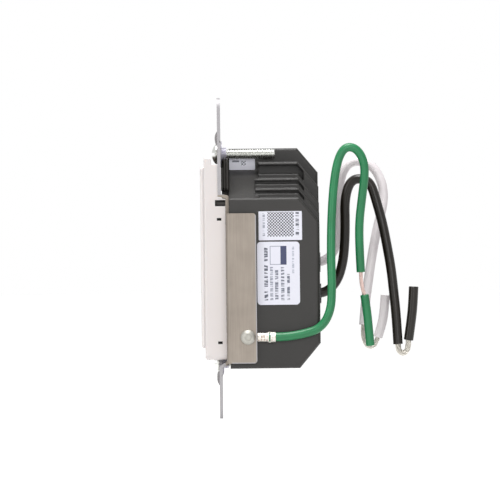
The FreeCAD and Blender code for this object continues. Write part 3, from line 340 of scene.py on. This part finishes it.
def lathe(shape, outline, origin, axis, side, steps):
    """Turns (along, radius) pairs about an axis and joins the rings into a skin."""
    up = axis.cross(side)
    rings = []
    for along, radius in outline:
        if radius < 1e-7:
            rings.append([shape.verts.new(origin + axis * along)])
            continue
        ring = []
        for step in range(steps):
            angle = 2 * math.pi * step / steps
            ring.append(
                shape.verts.new(
                    origin + axis * along + (side * math.cos(angle) + up * math.sin(angle)) * radius
                )
            )
        rings.append(ring)
    for first, second in zip(rings, rings[1:]):
        for step in range(steps):
            corners = [
                first[step % len(first)],
                first[(step + 1) % len(first)],
                second[(step + 1) % len(second)],
                second[step % len(second)],
            ]
            unique = list(dict.fromkeys(corners))
            if len(unique) > 2:
                shape.faces.new(unique)


def finished_mesh(name, shape, smooth_below=math.radians(40)):
    """A mesh with its faces turned outwards and only its gentle edges smoothed."""
    bmesh.ops.remove_doubles(shape, verts=shape.verts, dist=1e-7)
    bmesh.ops.recalc_face_normals(shape, faces=shape.faces)
    for face in shape.faces:
        face.smooth = True
    for edge in shape.edges:
        edge.smooth = len(edge.link_faces) == 2 and edge.calc_face_angle(0) < smooth_below
    mesh = bpy.data.meshes.new(name)
    shape.to_mesh(mesh)
    shape.free()
    return mesh


screw_zinc = bright_metal("zinc_plate_bright", "d3d4d0", 0.3)
thread_radius = 1.75 * MM
thread_root = 1.38 * MM
thread_pitch = 0.794 * MM
thread_start = 0.5 * MM
screw_tip = 18.0 * MM
neck_radius = 1.5 * MM
neck_inside_head = 0.3 * MM
head_radius = 3.25 * MM
head_underside = -1.1 * MM
head_height = 1.85 * MM
head_rim = 0.5 * MM
head_chamfer = 0.1 * MM
slot_half_width = 0.5 * MM
cross_reach = 1.9 * MM
drive_depth = 1.0 * MM
drive_tool_room = 1 * MM
turn_steps = 40
rows_per_turn = 12
root_share = 0.12
flank_share = 0.7
tip_turns = 1.2
dome_steps = 12
head_sides = 64


def carved(name, blank, tool):
    """Cuts one closed mesh out of another, as a press does."""
    made = [bpy.data.objects.new(name, blank), bpy.data.objects.new(name + "_tool", tool)]
    for item in made:
        bpy.context.scene.collection.objects.link(item)
    cut = made[0].modifiers.new("drive", "BOOLEAN")
    cut.solver = "EXACT"
    cut.object = made[1]
    bpy.context.view_layer.update()
    ready = made[0].evaluated_get(bpy.context.evaluated_depsgraph_get())
    mesh = bpy.data.meshes.new_from_object(ready)
    for item in made:
        bpy.data.objects.remove(item)
    return mesh


def screw_head(z):
    """The domed head, cold headed, with its slot and shorter cross pressed in."""
    blank = bmesh.new()
    rise = head_height - head_rim
    crown = (head_radius**2 + rise**2) / (2 * rise)
    top = head_underside - head_height
    widest = math.asin(head_radius / crown)
    outline = []
    for step in range(dome_steps + 1):
        angle = widest * step / dome_steps
        outline.append((top + crown * (1 - math.cos(angle)), crown * math.sin(angle)))
    outline.append((head_underside - head_chamfer, head_radius))
    outline.append((head_underside, head_radius - head_chamfer))
    outline.append((head_underside, 0.0))
    lathe(blank, outline, Vector((0, 0, z)), Vector((1, 0, 0)), Vector((0, 1, 0)), head_sides)
    tool = bmesh.new()
    half, long, wide = slot_half_width, cross_reach, head_radius + drive_tool_room
    plus = [(-wide, -half), (-half, -half), (-half, -long), (half, -long), (half, -half), (wide, -half)]
    plus += [(-y, -up) for y, up in plus]
    rings = []
    for x in (top - drive_tool_room, top + drive_depth):
        rings.append([tool.verts.new((x, y, z + up)) for y, up in plus])
    for step in range(len(plus)):
        after = (step + 1) % len(plus)
        tool.faces.new((rings[0][step], rings[0][after], rings[1][after], rings[1][step]))
    tool.faces.new(rings[0])
    tool.faces.new(rings[1])
    return carved("screw_head", finished_mesh("head_blank", blank), finished_mesh("drive_tool", tool))


def box_screw(name, z, body):
    """Head, neck and a thread of one start that fades in at the neck and out at the tip."""
    shape = bmesh.new()
    shape.from_mesh(screw_head(z))
    rows = int((screw_tip - thread_start) / thread_pitch * rows_per_turn)
    stations = [(head_underside - neck_inside_head, None), (thread_start, None)]
    stations += [(thread_start + (screw_tip - thread_start) * row / rows, row) for row in range(rows + 1)]
    rings = []
    for along, row in stations:
        ring = []
        for step in range(turn_steps):
            angle = 2 * math.pi * step / turn_steps
            phase = ((along - thread_start) / thread_pitch - step / turn_steps) % 1
            flank = min(1.0, max(0.0, (1 - abs(2 * phase - 1) - root_share) / flank_share))
            fade_in = min(1.0, (along - thread_start) / thread_pitch)
            to_tip = min(1.0, (screw_tip - along) / (tip_turns * thread_pitch))
            radius = thread_root + (thread_radius - thread_root) * min(flank * fade_in, to_tip)
            if row is None:
                radius = neck_radius
            ring.append(
                shape.verts.new((along, radius * math.cos(angle), z + radius * math.sin(angle)))
            )
        rings.append(ring)
    for first, second in zip(rings, rings[1:]):
        for step in range(turn_steps):
            after = (step + 1) % turn_steps
            shape.faces.new((first[step], first[after], second[after], second[step]))
    shape.faces.new(rings[0])
    shape.faces.new(rings[-1])
    return shown(name, finished_mesh(name, shape), screw_zinc, body)


screw_height = 34.6 * MM
upper_box_screw = box_screw("upper_box_screw", screw_height, "upper_screw")
lower_box_screw = box_screw("lower_box_screw", -screw_height, "lower_screw")
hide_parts("upper_mounting_screw")
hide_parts("lower_mounting_screw")


# Screw retainers. Soft polyethylene washers with a short collar, moulded in a cloudy
# lavender, which grip the neck of each box screw and let it slide along its slot.
def cloudy_polyethylene():
    """Unfilled polyethylene: waxy, lets light through but no picture, a little blue."""
    material, shader, place = new_material("polyethylene_moulded_cloudy")
    cloud = add(material, "TexNoise", {"Vector": place, "Scale": 500.0, "Detail": 2.0})
    tint = add(material, "ValToRGB", {"Fac": cloud.outputs["Fac"]})
    tint.color_ramp.elements[0].color = linear("cfccdd")
    tint.color_ramp.elements[1].color = linear("e0deeb")
    rough = add(material, "MapRange", {"Value": cloud.outputs["Fac"], "To Min": 0.3, "To Max": 0.42})
    shader.inputs["IOR"].default_value = 1.51
    shader.inputs["Transmission Weight"].default_value = 0.25
    shader.inputs["Subsurface Weight"].default_value = 0.3
    shader.inputs["Subsurface Radius"].default_value = (0.001, 0.001, 0.0012)
    feed(material, shader, Base_Color=tint.outputs[0], Roughness=rough.outputs[0])
    return material


retainer_plastic = cloudy_polyethylene()
dress("upper_screw_retainer", retainer_plastic)
dress("lower_screw_retainer", retainer_plastic)


# Ground screw and ring terminal. The screw is steel with satin zinc, its dome and
# shallow drive pressed; the terminal is tinned copper, its barrel crimped with a
# toothed die whose dents run in a fine lattice.
def satin_zinc():
    """Tumbled zinc plate: a pale soft grey with no sharp reflections."""
    material, shader, place = new_material("zinc_plate_satin")
    shader.inputs["Metallic"].default_value = 0.85
    spots = add(material, "TexNoise", {"Vector": place, "Scale": 1400.0, "Detail": 3.0})
    tint = add(material, "ValToRGB", {"Fac": spots.outputs["Fac"]})
    tint.color_ramp.elements[0].color = linear("98968f")
    tint.color_ramp.elements[1].color = linear("b2b0a9")
    rough = add(material, "MapRange", {"Value": spots.outputs["Fac"], "To Min": 0.45, "To Max": 0.6})
    bump = add(material, "Bump", {"Height": spots.outputs["Fac"], "Strength": 0.2, "Distance": 0.00005})
    feed(material, shader, Base_Color=tint.outputs[0], Roughness=rough.outputs[0], Normal=bump.outputs[0])
    return material


def crimped_tin():
    """Tin over copper: silver on the high spots, the copper's pink and dirt in the dents."""
    material, shader, place = new_material("tinned_copper_crimped")
    shader.inputs["Metallic"].default_value = 1.0
    # the die's teeth stand 0.6 mm apart, drawn at 0.9 mm so that they show
    dents = add(material, "TexVoronoi", {"Vector": place, "Scale": 1 / (0.9 * MM), "Randomness": 0.35})
    tint = add(material, "ValToRGB", {"Fac": dents.outputs["Distance"]})
    tint.color_ramp.elements[0].position = 0.12
    tint.color_ramp.elements[0].color = linear("8d7468")
    tint.color_ramp.elements[1].position = 0.5
    tint.color_ramp.elements[1].color = linear("c2bfb8")
    rough = add(material, "MapRange", {"Value": dents.outputs["Distance"], "To Min": 0.5, "To Max": 0.3})
    bump = add(material, "Bump", {"Height": dents.outputs["Distance"], "Strength": 0.6, "Distance": 0.0002})
    feed(material, shader, Base_Color=tint.outputs[0], Roughness=rough.outputs[0], Normal=bump.outputs[0])
    return material


dress("ground_screw", satin_zinc())
dress("ground_terminal", crimped_tin())


# Labels. White polyester film with a matt print coat. The print is only blocks: rows of
# small grey bars, an outlined field with a navy block, and a plain chequered square.
def printed_film(name, marks):
    """Matt white film. Each mark is a colour, its four edges in mm, and a break pattern:
    solid, bars (short dashes along the row) or chequers."""
    material, shader, place = new_material(name)
    shader.inputs["IOR"].default_value = 1.5
    grit = add(material, "TexNoise", {"Vector": place, "Scale": 900.0, "Detail": 2.0})
    paper = add(material, "ValToRGB", {"Fac": grit.outputs["Fac"]})
    paper.color_ramp.elements[0].color = linear("e3e3ee")
    paper.color_ramp.elements[1].color = linear("ebebf5")
    rough = add(material, "MapRange", {"Value": grit.outputs["Fac"], "To Min": 0.38, "To Max": 0.5})
    axes = add(material, "SeparateXYZ", {"Vector": place})
    shade = paper.outputs[0]
    for colour, left, right, low, high, kind in marks:
        across = add(
            material,
            "Math",
            {0: axes.outputs[0], 1: (left + right) / 2 * MM, 2: (right - left) / 2 * MM},
            operation="COMPARE",
        )
        along = add(
            material,
            "Math",
            {0: axes.outputs[2], 1: (low + high) / 2 * MM, 2: (high - low) / 2 * MM},
            operation="COMPARE",
        )
        inside = add(
            material, "Math", {0: across.outputs[0], 1: along.outputs[0]}, operation="MULTIPLY"
        )
        if kind == "bars":
            # strokes 0.3 mm wide are drawn at 0.55 mm, as fine as the picture shows
            stroke = 0.55 * MM
            stretched = add(material, "Mapping", {"Vector": place, "Scale": (300, 1, 1 / stroke)})
            dash = add(material, "TexNoise", {"Vector": stretched.outputs[0], "Scale": 1.0, "Detail": 1.0})
            broken = add(
                material,
                "MapRange",
                {"Value": dash.outputs["Fac"], "From Min": 0.42, "From Max": 0.56},
            )
            inside = add(
                material, "Math", {0: inside.outputs[0], 1: broken.outputs[0]}, operation="MULTIPLY"
            )
        if kind == "chequers":
            board = add(material, "TexChecker", {"Vector": place, "Scale": 1 / (0.5 * MM)})
            inside = add(
                material, "Math", {0: inside.outputs[0], 1: board.outputs["Fac"]}, operation="MULTIPLY"
            )
        mix = add(
            material,
            "Mix",
            {"Factor": inside.outputs[0], 6: shade, 7: linear(colour)},
            data_type="RGBA",
        )
        shade = mix.outputs[2]
    feed(material, shader, Base_Color=shade, Roughness=rough.outputs[0])
    return material


rating_marks = [
    ("4a4f5e", 14.0, 15.2, -13.9, 3.7, "bars"),
    ("8f93a2", 15.9, 16.9, -13.9, -2.9, "bars"),
    ("6d7180", 17.5, 18.6, -13.9, -3.6, "bars"),
    ("6d7180", 19.5, 20.6, -13.9, -3.0, "bars"),
    ("6d7180", 21.5, 22.4, -13.9, -5.3, "bars"),
    ("b3b6c4", 23.2, 23.9, -5.2, 3.9, "bars"),
    ("8a8e9e", 15.9, 21.4, -2.2, 4.0, "solid"),
    ("e6e6f1", 16.1, 21.2, -2.0, 3.8, "solid"),
    ("343a5c", 19.4, 21.4, -2.2, 4.0, "solid"),
]
code_marks = [
    ("a3a6b2", 13.6, 14.4, 7.3, 14.9, "bars"),
    ("2b2c33", 15.2, 23.9, 7.1, 15.2, "chequers"),
    ("5d606c", 24.5, 25.6, 7.3, 15.1, "bars"),
]
corner_marks = [
    ("7a7d88", 3.9, 6.2, 31.9, 32.5, "solid"),
    ("5d606a", 6.8, 8.4, 30.8, 32.3, "chequers"),
]
dress("rating_label", printed_film("polyester_film_rating", rating_marks))
dress("code_label", printed_film("polyester_film_code", code_marks))
dress("corner_label", printed_film("polyester_film_corner", corner_marks))


# Catches and register lip of the front cover: black ABS lugs that snap behind the
# frame's side walls and show in the six openings there, and the lip that closes the joint
# to the housing. Their black, and the prong roots', is darker than the cover's: painted
# shade for the openings.
painted_shade_abs = matt_moulding("abs_black_painted_shade", "0c0907", "100d0a", 0.55, 0.8, 0.01)


def moulded_bar(name, across, depth, height, edge):
    """A small moulded bar between two places on each axis, in mm, with broken edges and
    a sloped upper end."""
    shape = bmesh.new()
    corners = []
    for z in height:
        slope = 0.2 if z == height[1] else 0.0
        for x, y in ((0, 0), (1, 0), (1, 1), (0, 1)):
            place = (across[x] + slope * (1 - x), depth[y], z)
            corners.append(shape.verts.new([value * MM for value in place]))
    for ring in ((0, 1, 2, 3), (4, 5, 6, 7), (0, 1, 5, 4), (1, 2, 6, 5), (2, 3, 7, 6), (3, 0, 4, 7)):
        shape.faces.new([corners[index] for index in ring])
    bmesh.ops.bevel(shape, geom=list(shape.edges), offset=edge * MM, segments=2, affect="EDGES")
    piece = shown(name, finished_mesh(name, shape), painted_shade_abs)


catch_across = (-1.75, 0.35)
for side_name, side in (("near", -1), ("far", 1)):
    wall_side = sorted((side * 15.05, side * 14.55))
    moulded_bar("upper_catch_" + side_name, catch_across, wall_side, (12.15, 13.75), 0.08)
    moulded_bar("lower_catch_" + side_name, catch_across, wall_side, (-28.65, -27.05), 0.08)
    prong_side = sorted((side * 14.8, side * 14.3))
    moulded_bar("prong_root_" + side_name, (-2.2, 1.3), prong_side, (17.0, 19.6), 0.1)
moulded_bar("cover_register_lip", (2.3, 2.9), (15.0, 17.0), (18.6, 33.2), 0.06)


# Leads. Stranded copper hook-up wire in thermoplastic insulation, green for ground, black
# for line and white for neutral. Each is bare for about a centimetre, with the cut piece
# of insulation left on the tip, and folded back on itself for the box.
def insulation(name, colour, shade, roughness, specular):
    """Extruded PVC over strands: satin, with a waxy sheen and faint waves drawn out
    upright, as the leads mostly run."""
    material, shader, place = new_material(name)
    cloud = add(material, "TexNoise", {"Vector": place, "Scale": 140.0, "Detail": 2.0})
    tint = add(material, "ValToRGB", {"Fac": cloud.outputs["Fac"]})
    tint.color_ramp.elements[0].position = 0.3
    tint.color_ramp.elements[0].color = linear(shade)
    tint.color_ramp.elements[1].position = 0.7
    tint.color_ramp.elements[1].color = linear(colour)
    # per metre, so the waves are 0.4 mm across and 4 mm long
    wave_scale = (2600, 2600, 260)
    drawn = add(material, "Mapping", {"Vector": place, "Scale": wave_scale})
    waves = add(material, "TexNoise", {"Vector": drawn.outputs[0], "Scale": 1.0, "Detail": 2.0})
    rough = add(
        material,
        "MapRange",
        {"Value": waves.outputs["Fac"], "To Min": roughness - 0.05, "To Max": roughness + 0.07},
    )
    bump = add(material, "Bump", {"Height": waves.outputs["Fac"], "Strength": 0.12, "Distance": 0.00005})
    shader.inputs["IOR"].default_value = 1.53
    shader.inputs["Specular IOR Level"].default_value = specular
    feed(material, shader, Base_Color=tint.outputs[0], Roughness=rough.outputs[0], Normal=bump.outputs[0])
    return material


def route_line(name, points, radius=0.0):
    """A NURBS line with a lead's own points as its control points, as thick as its radius."""
    curve = bpy.data.curves.new(name, "CURVE")
    curve.dimensions = "3D"
    curve.resolution_u = 12
    spline = curve.splines.new("NURBS")
    spline.points.add(len(points) - 1)
    for point, place in zip(spline.points, points):
        point.co = (place[0] * MM, place[1] * MM, place[2] * MM, 1.0)
    spline.order_u = 3
    spline.use_endpoint_u = True
    curve.bevel_depth = radius
    curve.bevel_resolution = 8
    curve.use_fill_caps = True
    return curve


def followed(points):
    """The places along a route's NURBS line, with a direction and two sides for each."""
    holder = bpy.data.objects.new("route", route_line("route", points))
    bpy.context.scene.collection.objects.link(holder)
    line = bpy.data.meshes.new_from_object(holder)
    places = [vertex.co.copy() for vertex in line.vertices]
    bpy.data.objects.remove(holder)
    frames = []
    side = None
    for index, place in enumerate(places):
        before = places[max(0, index - 1)]
        after = places[min(len(places) - 1, index + 1)]
        along = (after - before).normalized()
        if side is None:
            side = along.orthogonal().normalized()
        side = (side - along * side.dot(along)).normalized()
        frames.append((place, along, side, along.cross(side)))
    return frames


def walked(frames):
    """The distance from the start to each place on the line."""
    reach = [0.0]
    for first, second in zip(frames, frames[1:]):
        reach.append(reach[-1] + (second[0] - first[0]).length)
    return reach


def skin(shape, rings):
    """Joins rings of points into a tube."""
    made = [[shape.verts.new(place) for place in ring] for ring in rings]
    for first, second in zip(made, made[1:]):
        for step in range(len(first)):
            after = (step + 1) % len(first)
            shape.faces.new((first[step], first[after], second[after], second[step]))
    return made


# The strands turn 110 times per metre. Each wavers by a tenth, out of step with its
# neighbours, in waves counted in radians
strand_turns = 110
strand_slack = 0.1
strand_offset = 2.4
slack_waves = 900
strand_sides = 8


def strand_bundle(name, points, bundle_radius, strand_radius, material):
    """Bare strands laid round one core strand in a loose twist."""
    frames = followed(points)
    reach = walked(frames)
    count = max(5, int(math.pi * (bundle_radius - strand_radius) / strand_radius))
    shape = bmesh.new()
    for strand in range(count + 1):
        away = 0.0 if strand == count else bundle_radius - strand_radius
        thick = bundle_radius - 2 * strand_radius if strand == count else strand_radius
        rings = []
        for (place, along, side, up), distance in zip(frames, reach):
            angle = 2 * math.pi * (strand / count + distance * strand_turns)
            loose = 1 + strand_slack * math.sin(strand * strand_offset + distance * slack_waves)
            middle = place + (side * math.cos(angle) + up * math.sin(angle)) * away * loose
            ring = []
            for step in range(strand_sides):
                turn = 2 * math.pi * step / strand_sides
                ring.append(middle + (side * math.cos(turn) + up * math.sin(turn)) * thick)
            rings.append(ring)
        made = skin(shape, rings)
        shape.faces.new(made[0])
        shape.faces.new(made[-1])
    return shown(name, finished_mesh(name, shape, smooth_below=math.radians(60)), material)


def cut_sleeve(name, points, radius, bore, material):
    """The short piece of insulation left on the tip, cut square, with its bore sunk a
    little way into both ends."""
    frames = followed(points)
    depth = 0.7 * MM
    edge = 0.12 * MM
    steps = 32
    first, last = frames[0], frames[-1]
    stations = [(first[0] + first[1] * depth, first, bore), (first[0], first, bore)]
    stations += [(first[0], first, radius - edge), (first[0] + first[1] * edge, first, radius)]
    stations += [(frame[0], frame, radius) for frame in frames[1:-1]]
    stations += [(last[0] - last[1] * edge, last, radius), (last[0], last, radius - edge)]
    stations += [(last[0], last, bore), (last[0] - last[1] * depth, last, bore)]
    rings = []
    for middle, (_, _, side, up), size in stations:
        ring = []
        for step in range(steps):
            turn = 2 * math.pi * step / steps
            ring.append(middle + (side * math.cos(turn) + up * math.sin(turn)) * size)
        rings.append(ring)
    shape = bmesh.new()
    made = skin(shape, rings)
    shape.faces.new(made[0])
    shape.faces.new(made[-1])
    return shown(name, finished_mesh(name, shape), material)


lead_pvc_green = insulation("pvc_insulation_green", "1f7d4d", "1b6f43", 0.4, 0.4)
lead_pvc_black = insulation("pvc_insulation_black", "1c1610", "14100b", 0.32, 0.32)
lead_pvc_white = insulation("pvc_insulation_white", "ece6e7", "e4dddf", 0.42, 0.5)
tinned_copper = bright_metal("tinned_copper_strands", "c6c2ba", 0.4)
bare_copper = bright_metal("bare_copper_strands", "dcc4bd", 0.4)

# The routes in mm: the solid leads' own points, some of them moved to follow the
# photograph more closely
ground_y = -22.95
ground_z = -26.0
ground_points = [
    (15.0, ground_y, ground_z),
    (20.4, ground_y, ground_z),
    (26.5, ground_y, ground_z + 0.9),
    (32.5, ground_y + 0.1, -23.3),
    (35.8, ground_y + 0.6, -17.7),
    (36.3, ground_y + 1.5, -9.7),
    (36.1, ground_y + 2.6, -1.4),
    (36.2, ground_y + 3.6, 7.4),
    (36.6, ground_y + 4.3, 16.2),
    (37.3, ground_y + 4.8, 24.4),
    (38.4, ground_y + 4.9, 30.8),
    (39.8, ground_y + 5.0, 34.6),
    (41.8, ground_y + 5.2, 36.5),
    (44.6, ground_y + 5.4, 36.0),
    (46.8, ground_y + 5.7, 33.2),
    (47.8, ground_y + 6.1, 28.6),
    (46.7, ground_y + 6.8, 20.2),
    (45.6, ground_y + 7.3, 11.6),
    (45.6, ground_y + 7.7, 3.2),
    (46.0, ground_y + 7.9, -5.0),
]
ground_bare_points = [
    (46.0, ground_y + 7.9, -5.0),
    (46.1, ground_y + 7.9, -7.8),
    (46.4, ground_y + 7.9, -10.3),
    (47.1, ground_y + 7.9, -12.5),
]
ground_tip_points = [
    (47.1, ground_y + 7.9, -12.5),
    (47.9, ground_y + 8.2, -17.7),
    (48.4, ground_y + 8.5, -23.5),
    (48.9, ground_y + 8.7, -29.4),
]
line_points = [
    (21.4, 0.0, -12.2),
    (28.0, 0.0, -12.2),
    (34.6, 0.0, -12.12),
    (38.5, 0.0, -8.2),
    (40.4, -0.4, -2.2),
    (41.1, -1.0, 4.4),
    (41.3, -1.6, 11.3),
    (41.2, -2.1, 18.2),
    (42.3, -2.5, 23.4),
    (44.3, -2.9, 25.8),
    (47.4, -3.3, 25.9),
    (50.0, -3.8, 24.2),
    (51.7, -4.3, 18.4),
    (53.6, -4.8, 11.3),
    (55.0, -5.3, 3.8),
    (56.3, -5.8, -3.9),
    (57.1, -6.3, -12.0),
    (57.9, -6.7, -20.4),
    (58.3, -7.0, -29.2),
]
line_bare_points = [
    (58.3, -7.0, -29.2),
    (58.4, -7.0, -31.3),
    (60.0, -7.0, -32.4),
    (61.6, -7.0, -31.3),
    (61.8, -7.0, -27.9),
]
line_tip_points = [
    (61.8, -7.0, -27.9),
    (62.7, -7.0, -22.0),
    (63.4, -7.0, -16.1),
    (63.7, -7.0, -10.1),
]
neutral_points = [
    (21.4, 10.0, -1.9),
    (28.1, 10.0, -1.9),
    (34.8, 10.0, -1.82),
    (38.6, 10.0, 2.8),
    (39.3, 10.0, 9.8),
    (39.4, 9.9, 17.1),
    (39.7, 9.8, 24.5),
    (41.7, 9.6, 30.3),
    (45.6, 9.4, 32.3),
    (50.8, 9.0, 30.6),
    (54.1, 8.4, 24.9),
    (54.6, 7.4, 18.3),
    (52.7, 5.8, 11.5),
    (51.1, 4.2, 4.7),
    (49.8, 2.6, -2.4),
    (48.7, 1.0, -9.2),
    (47.7, -0.4, -16.1),
    (47.1, -1.6, -22.8),
]
neutral_bare_points = [
    (47.1, -1.6, -22.8),
    (46.8, -2.1, -26.0),
    (47.4, -2.3, -28.8),
    (49.2, -2.3, -30.4),
    (51.0, -2.2, -29.3),
    (51.7, -2.1, -27.0),
]
neutral_tip_points = [
    (51.7, -2.1, -27.0),
    (53.2, -2.0, -22.8),
    (54.0, -2.0, -17.9),
    (54.4, -2.0, -12.9),
]

for name, whole, bare, tip, radius, bundle, colour, metal, leaves, reach, slots in (
    (
        "ground", ground_points, ground_bare_points, ground_tip_points, 1.42, 0.62,
        lead_pvc_green, bare_copper, ground_points[0], 126.9, ("green_insulation", "bare_copper"),
    ),
    (
        "line", line_points, line_bare_points, line_tip_points, 1.6, 0.95,
        lead_pvc_black, tinned_copper, line_points[0], 115.7, ("black_insulation", "tinned_strands"),
    ),
    (
        "neutral", neutral_points, neutral_bare_points, neutral_tip_points, 1.55, 0.8,
        lead_pvc_white, tinned_copper, neutral_points[0], 112.3, ("white_insulation", "tinned_strands"),
    ),
):
    lead = bpy.data.objects.new(name + "_wire", route_line(name + "_wire", whole, radius * MM))
    bpy.context.scene.collection.objects.link(lead)
    lead.data.materials.append(colour)
    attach(lead, "switch_body")
    strands = strand_bundle(name + "_wire_strands", bare, bundle * MM, bundle * MM / 4, metal)
    sleeve = cut_sleeve(name + "_wire_sleeve", tip, radius * MM, bundle * MM, colour)
    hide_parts(name + "_lead")
    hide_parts(name + "_lead_strands")
    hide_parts(name + "_lead_slug")


# Studio: a pale floor below the hung switch, white all round, and soft light from above,
# from the front and from the left. The camera stands in the wall plane, so it sees the
# flat ends of the strap exactly on edge.
scene = bpy.context.scene
scene.view_settings.view_transform = "Standard"

camera_data = bpy.data.cameras.new("camera")
camera_data.sensor_width = 36.0
camera_data.lens = 388.57
camera_data.clip_start = 0.01
camera_data.clip_end = 20.0
camera = bpy.data.objects.new("camera", camera_data)
scene.collection.objects.link(camera)
yaw, pitch, roll = math.radians(0.3022), math.radians(0.5552), math.radians(0.6327)
ahead = Vector(
    (math.sin(yaw) * math.cos(pitch), math.cos(yaw) * math.cos(pitch), -math.sin(pitch))
)
level = ahead.cross(Vector((0, 0, 1))).normalized()
upright = level.cross(ahead)
right = level * math.cos(roll) - upright * math.sin(roll)
top = level * math.sin(roll) + upright * math.cos(roll)
turn = Matrix((right, top, -ahead)).transposed().to_4x4()
camera_place = (0.0, -1.800, 0.020)
camera.matrix_world = Matrix.Translation(camera_place) @ turn
scene.camera = camera

# White to the camera and in reflections, but otherwise only a faint light
world = bpy.data.worlds.new("white_studio")
scene.world = world
world.use_nodes = True
world.node_tree.nodes.clear()
seen = add(world, "LightPath")
white = (1, 1, 1, 1)
fill_light = 0.17
plain = add(world, "Background", {"Color": white, "Strength": fill_light})
bright = add(world, "Background", {"Color": white, "Strength": 1.0})
through = add(
    world,
    "Math",
    {0: seen.outputs["Is Camera Ray"], 1: seen.outputs["Is Transmission Ray"]},
    operation="MAXIMUM",
)
direct = add(
    world, "Math", {0: through.outputs[0], 1: seen.outputs["Is Glossy Ray"]}, operation="MAXIMUM"
)
choose = add(
    world,
    "MixShader",
    {0: direct.outputs[0], 1: plain.outputs[0], 2: bright.outputs[0]},
)
add(world, "OutputWorld", {"Surface": choose.outputs[0]})


switch_middle = Vector((0.02, 0, 0))


def soft_light(name, place, size, strength):
    """A square soft box that looks at the middle of the switch."""
    data = bpy.data.lights.new(name, "AREA")
    data.size = size
    data.energy = strength
    lamp = bpy.data.objects.new(name, data)
    scene.collection.objects.link(lamp)
    lamp.location = place
    aim = switch_middle - lamp.location
    lamp.rotation_euler = aim.to_track_quat("-Z", "Y").to_euler()


soft_light("soft_box_above", (-0.05, -0.12, 0.95), 0.4, 11.5)
soft_light("soft_box_front", (0.2, -1.15, 0.3), 0.5, 3.3)
soft_light("soft_box_left", (-0.95, -0.8, 0.25), 0.45, 3.0)

floor_z = -0.082
floor_reach = 4
floor_mesh = bpy.data.meshes.new("studio_floor")
floor_mesh.from_pydata(
    [
        (-floor_reach, -floor_reach, floor_z),
        (floor_reach, -floor_reach, floor_z),
        (floor_reach, floor_reach, floor_z),
        (-floor_reach, floor_reach, floor_z),
    ],
    [],
    [(0, 1, 2, 3)],
)
floor = bpy.data.objects.new("studio_floor", floor_mesh)
scene.collection.objects.link(floor)
# The floor glows to the camera and in reflections, so that it runs into the white
paper, paper_shader, _ = new_material("pale_paper_floor")
paper_shader.inputs["Base Color"].default_value = linear("e6e6e6")
paper_shader.inputs["Roughness"].default_value = 0.9
floor_glow = 0.8
glow = add(paper, "Emission", {"Color": white, "Strength": floor_glow})
rays = add(paper, "LightPath")
mirrored = add(
    paper,
    "Math",
    {0: rays.outputs["Is Camera Ray"], 1: rays.outputs["Is Glossy Ray"]},
    operation="MAXIMUM",
)
blend_in = add(paper, "MixShader", {0: mirrored.outputs[0]})
both = add(paper, "AddShader", {0: paper_shader.outputs[0], 1: glow.outputs[0]})
paper.node_tree.links.new(paper_shader.outputs[0], blend_in.inputs[1])
paper.node_tree.links.new(both.outputs[0], blend_in.inputs[2])
paper_out = [n for n in paper.node_tree.nodes if n.type == "OUTPUT_MATERIAL"][0]
paper.node_tree.links.new(blend_in.outputs[0], paper_out.inputs["Surface"])
floor_mesh.materials.append(paper)
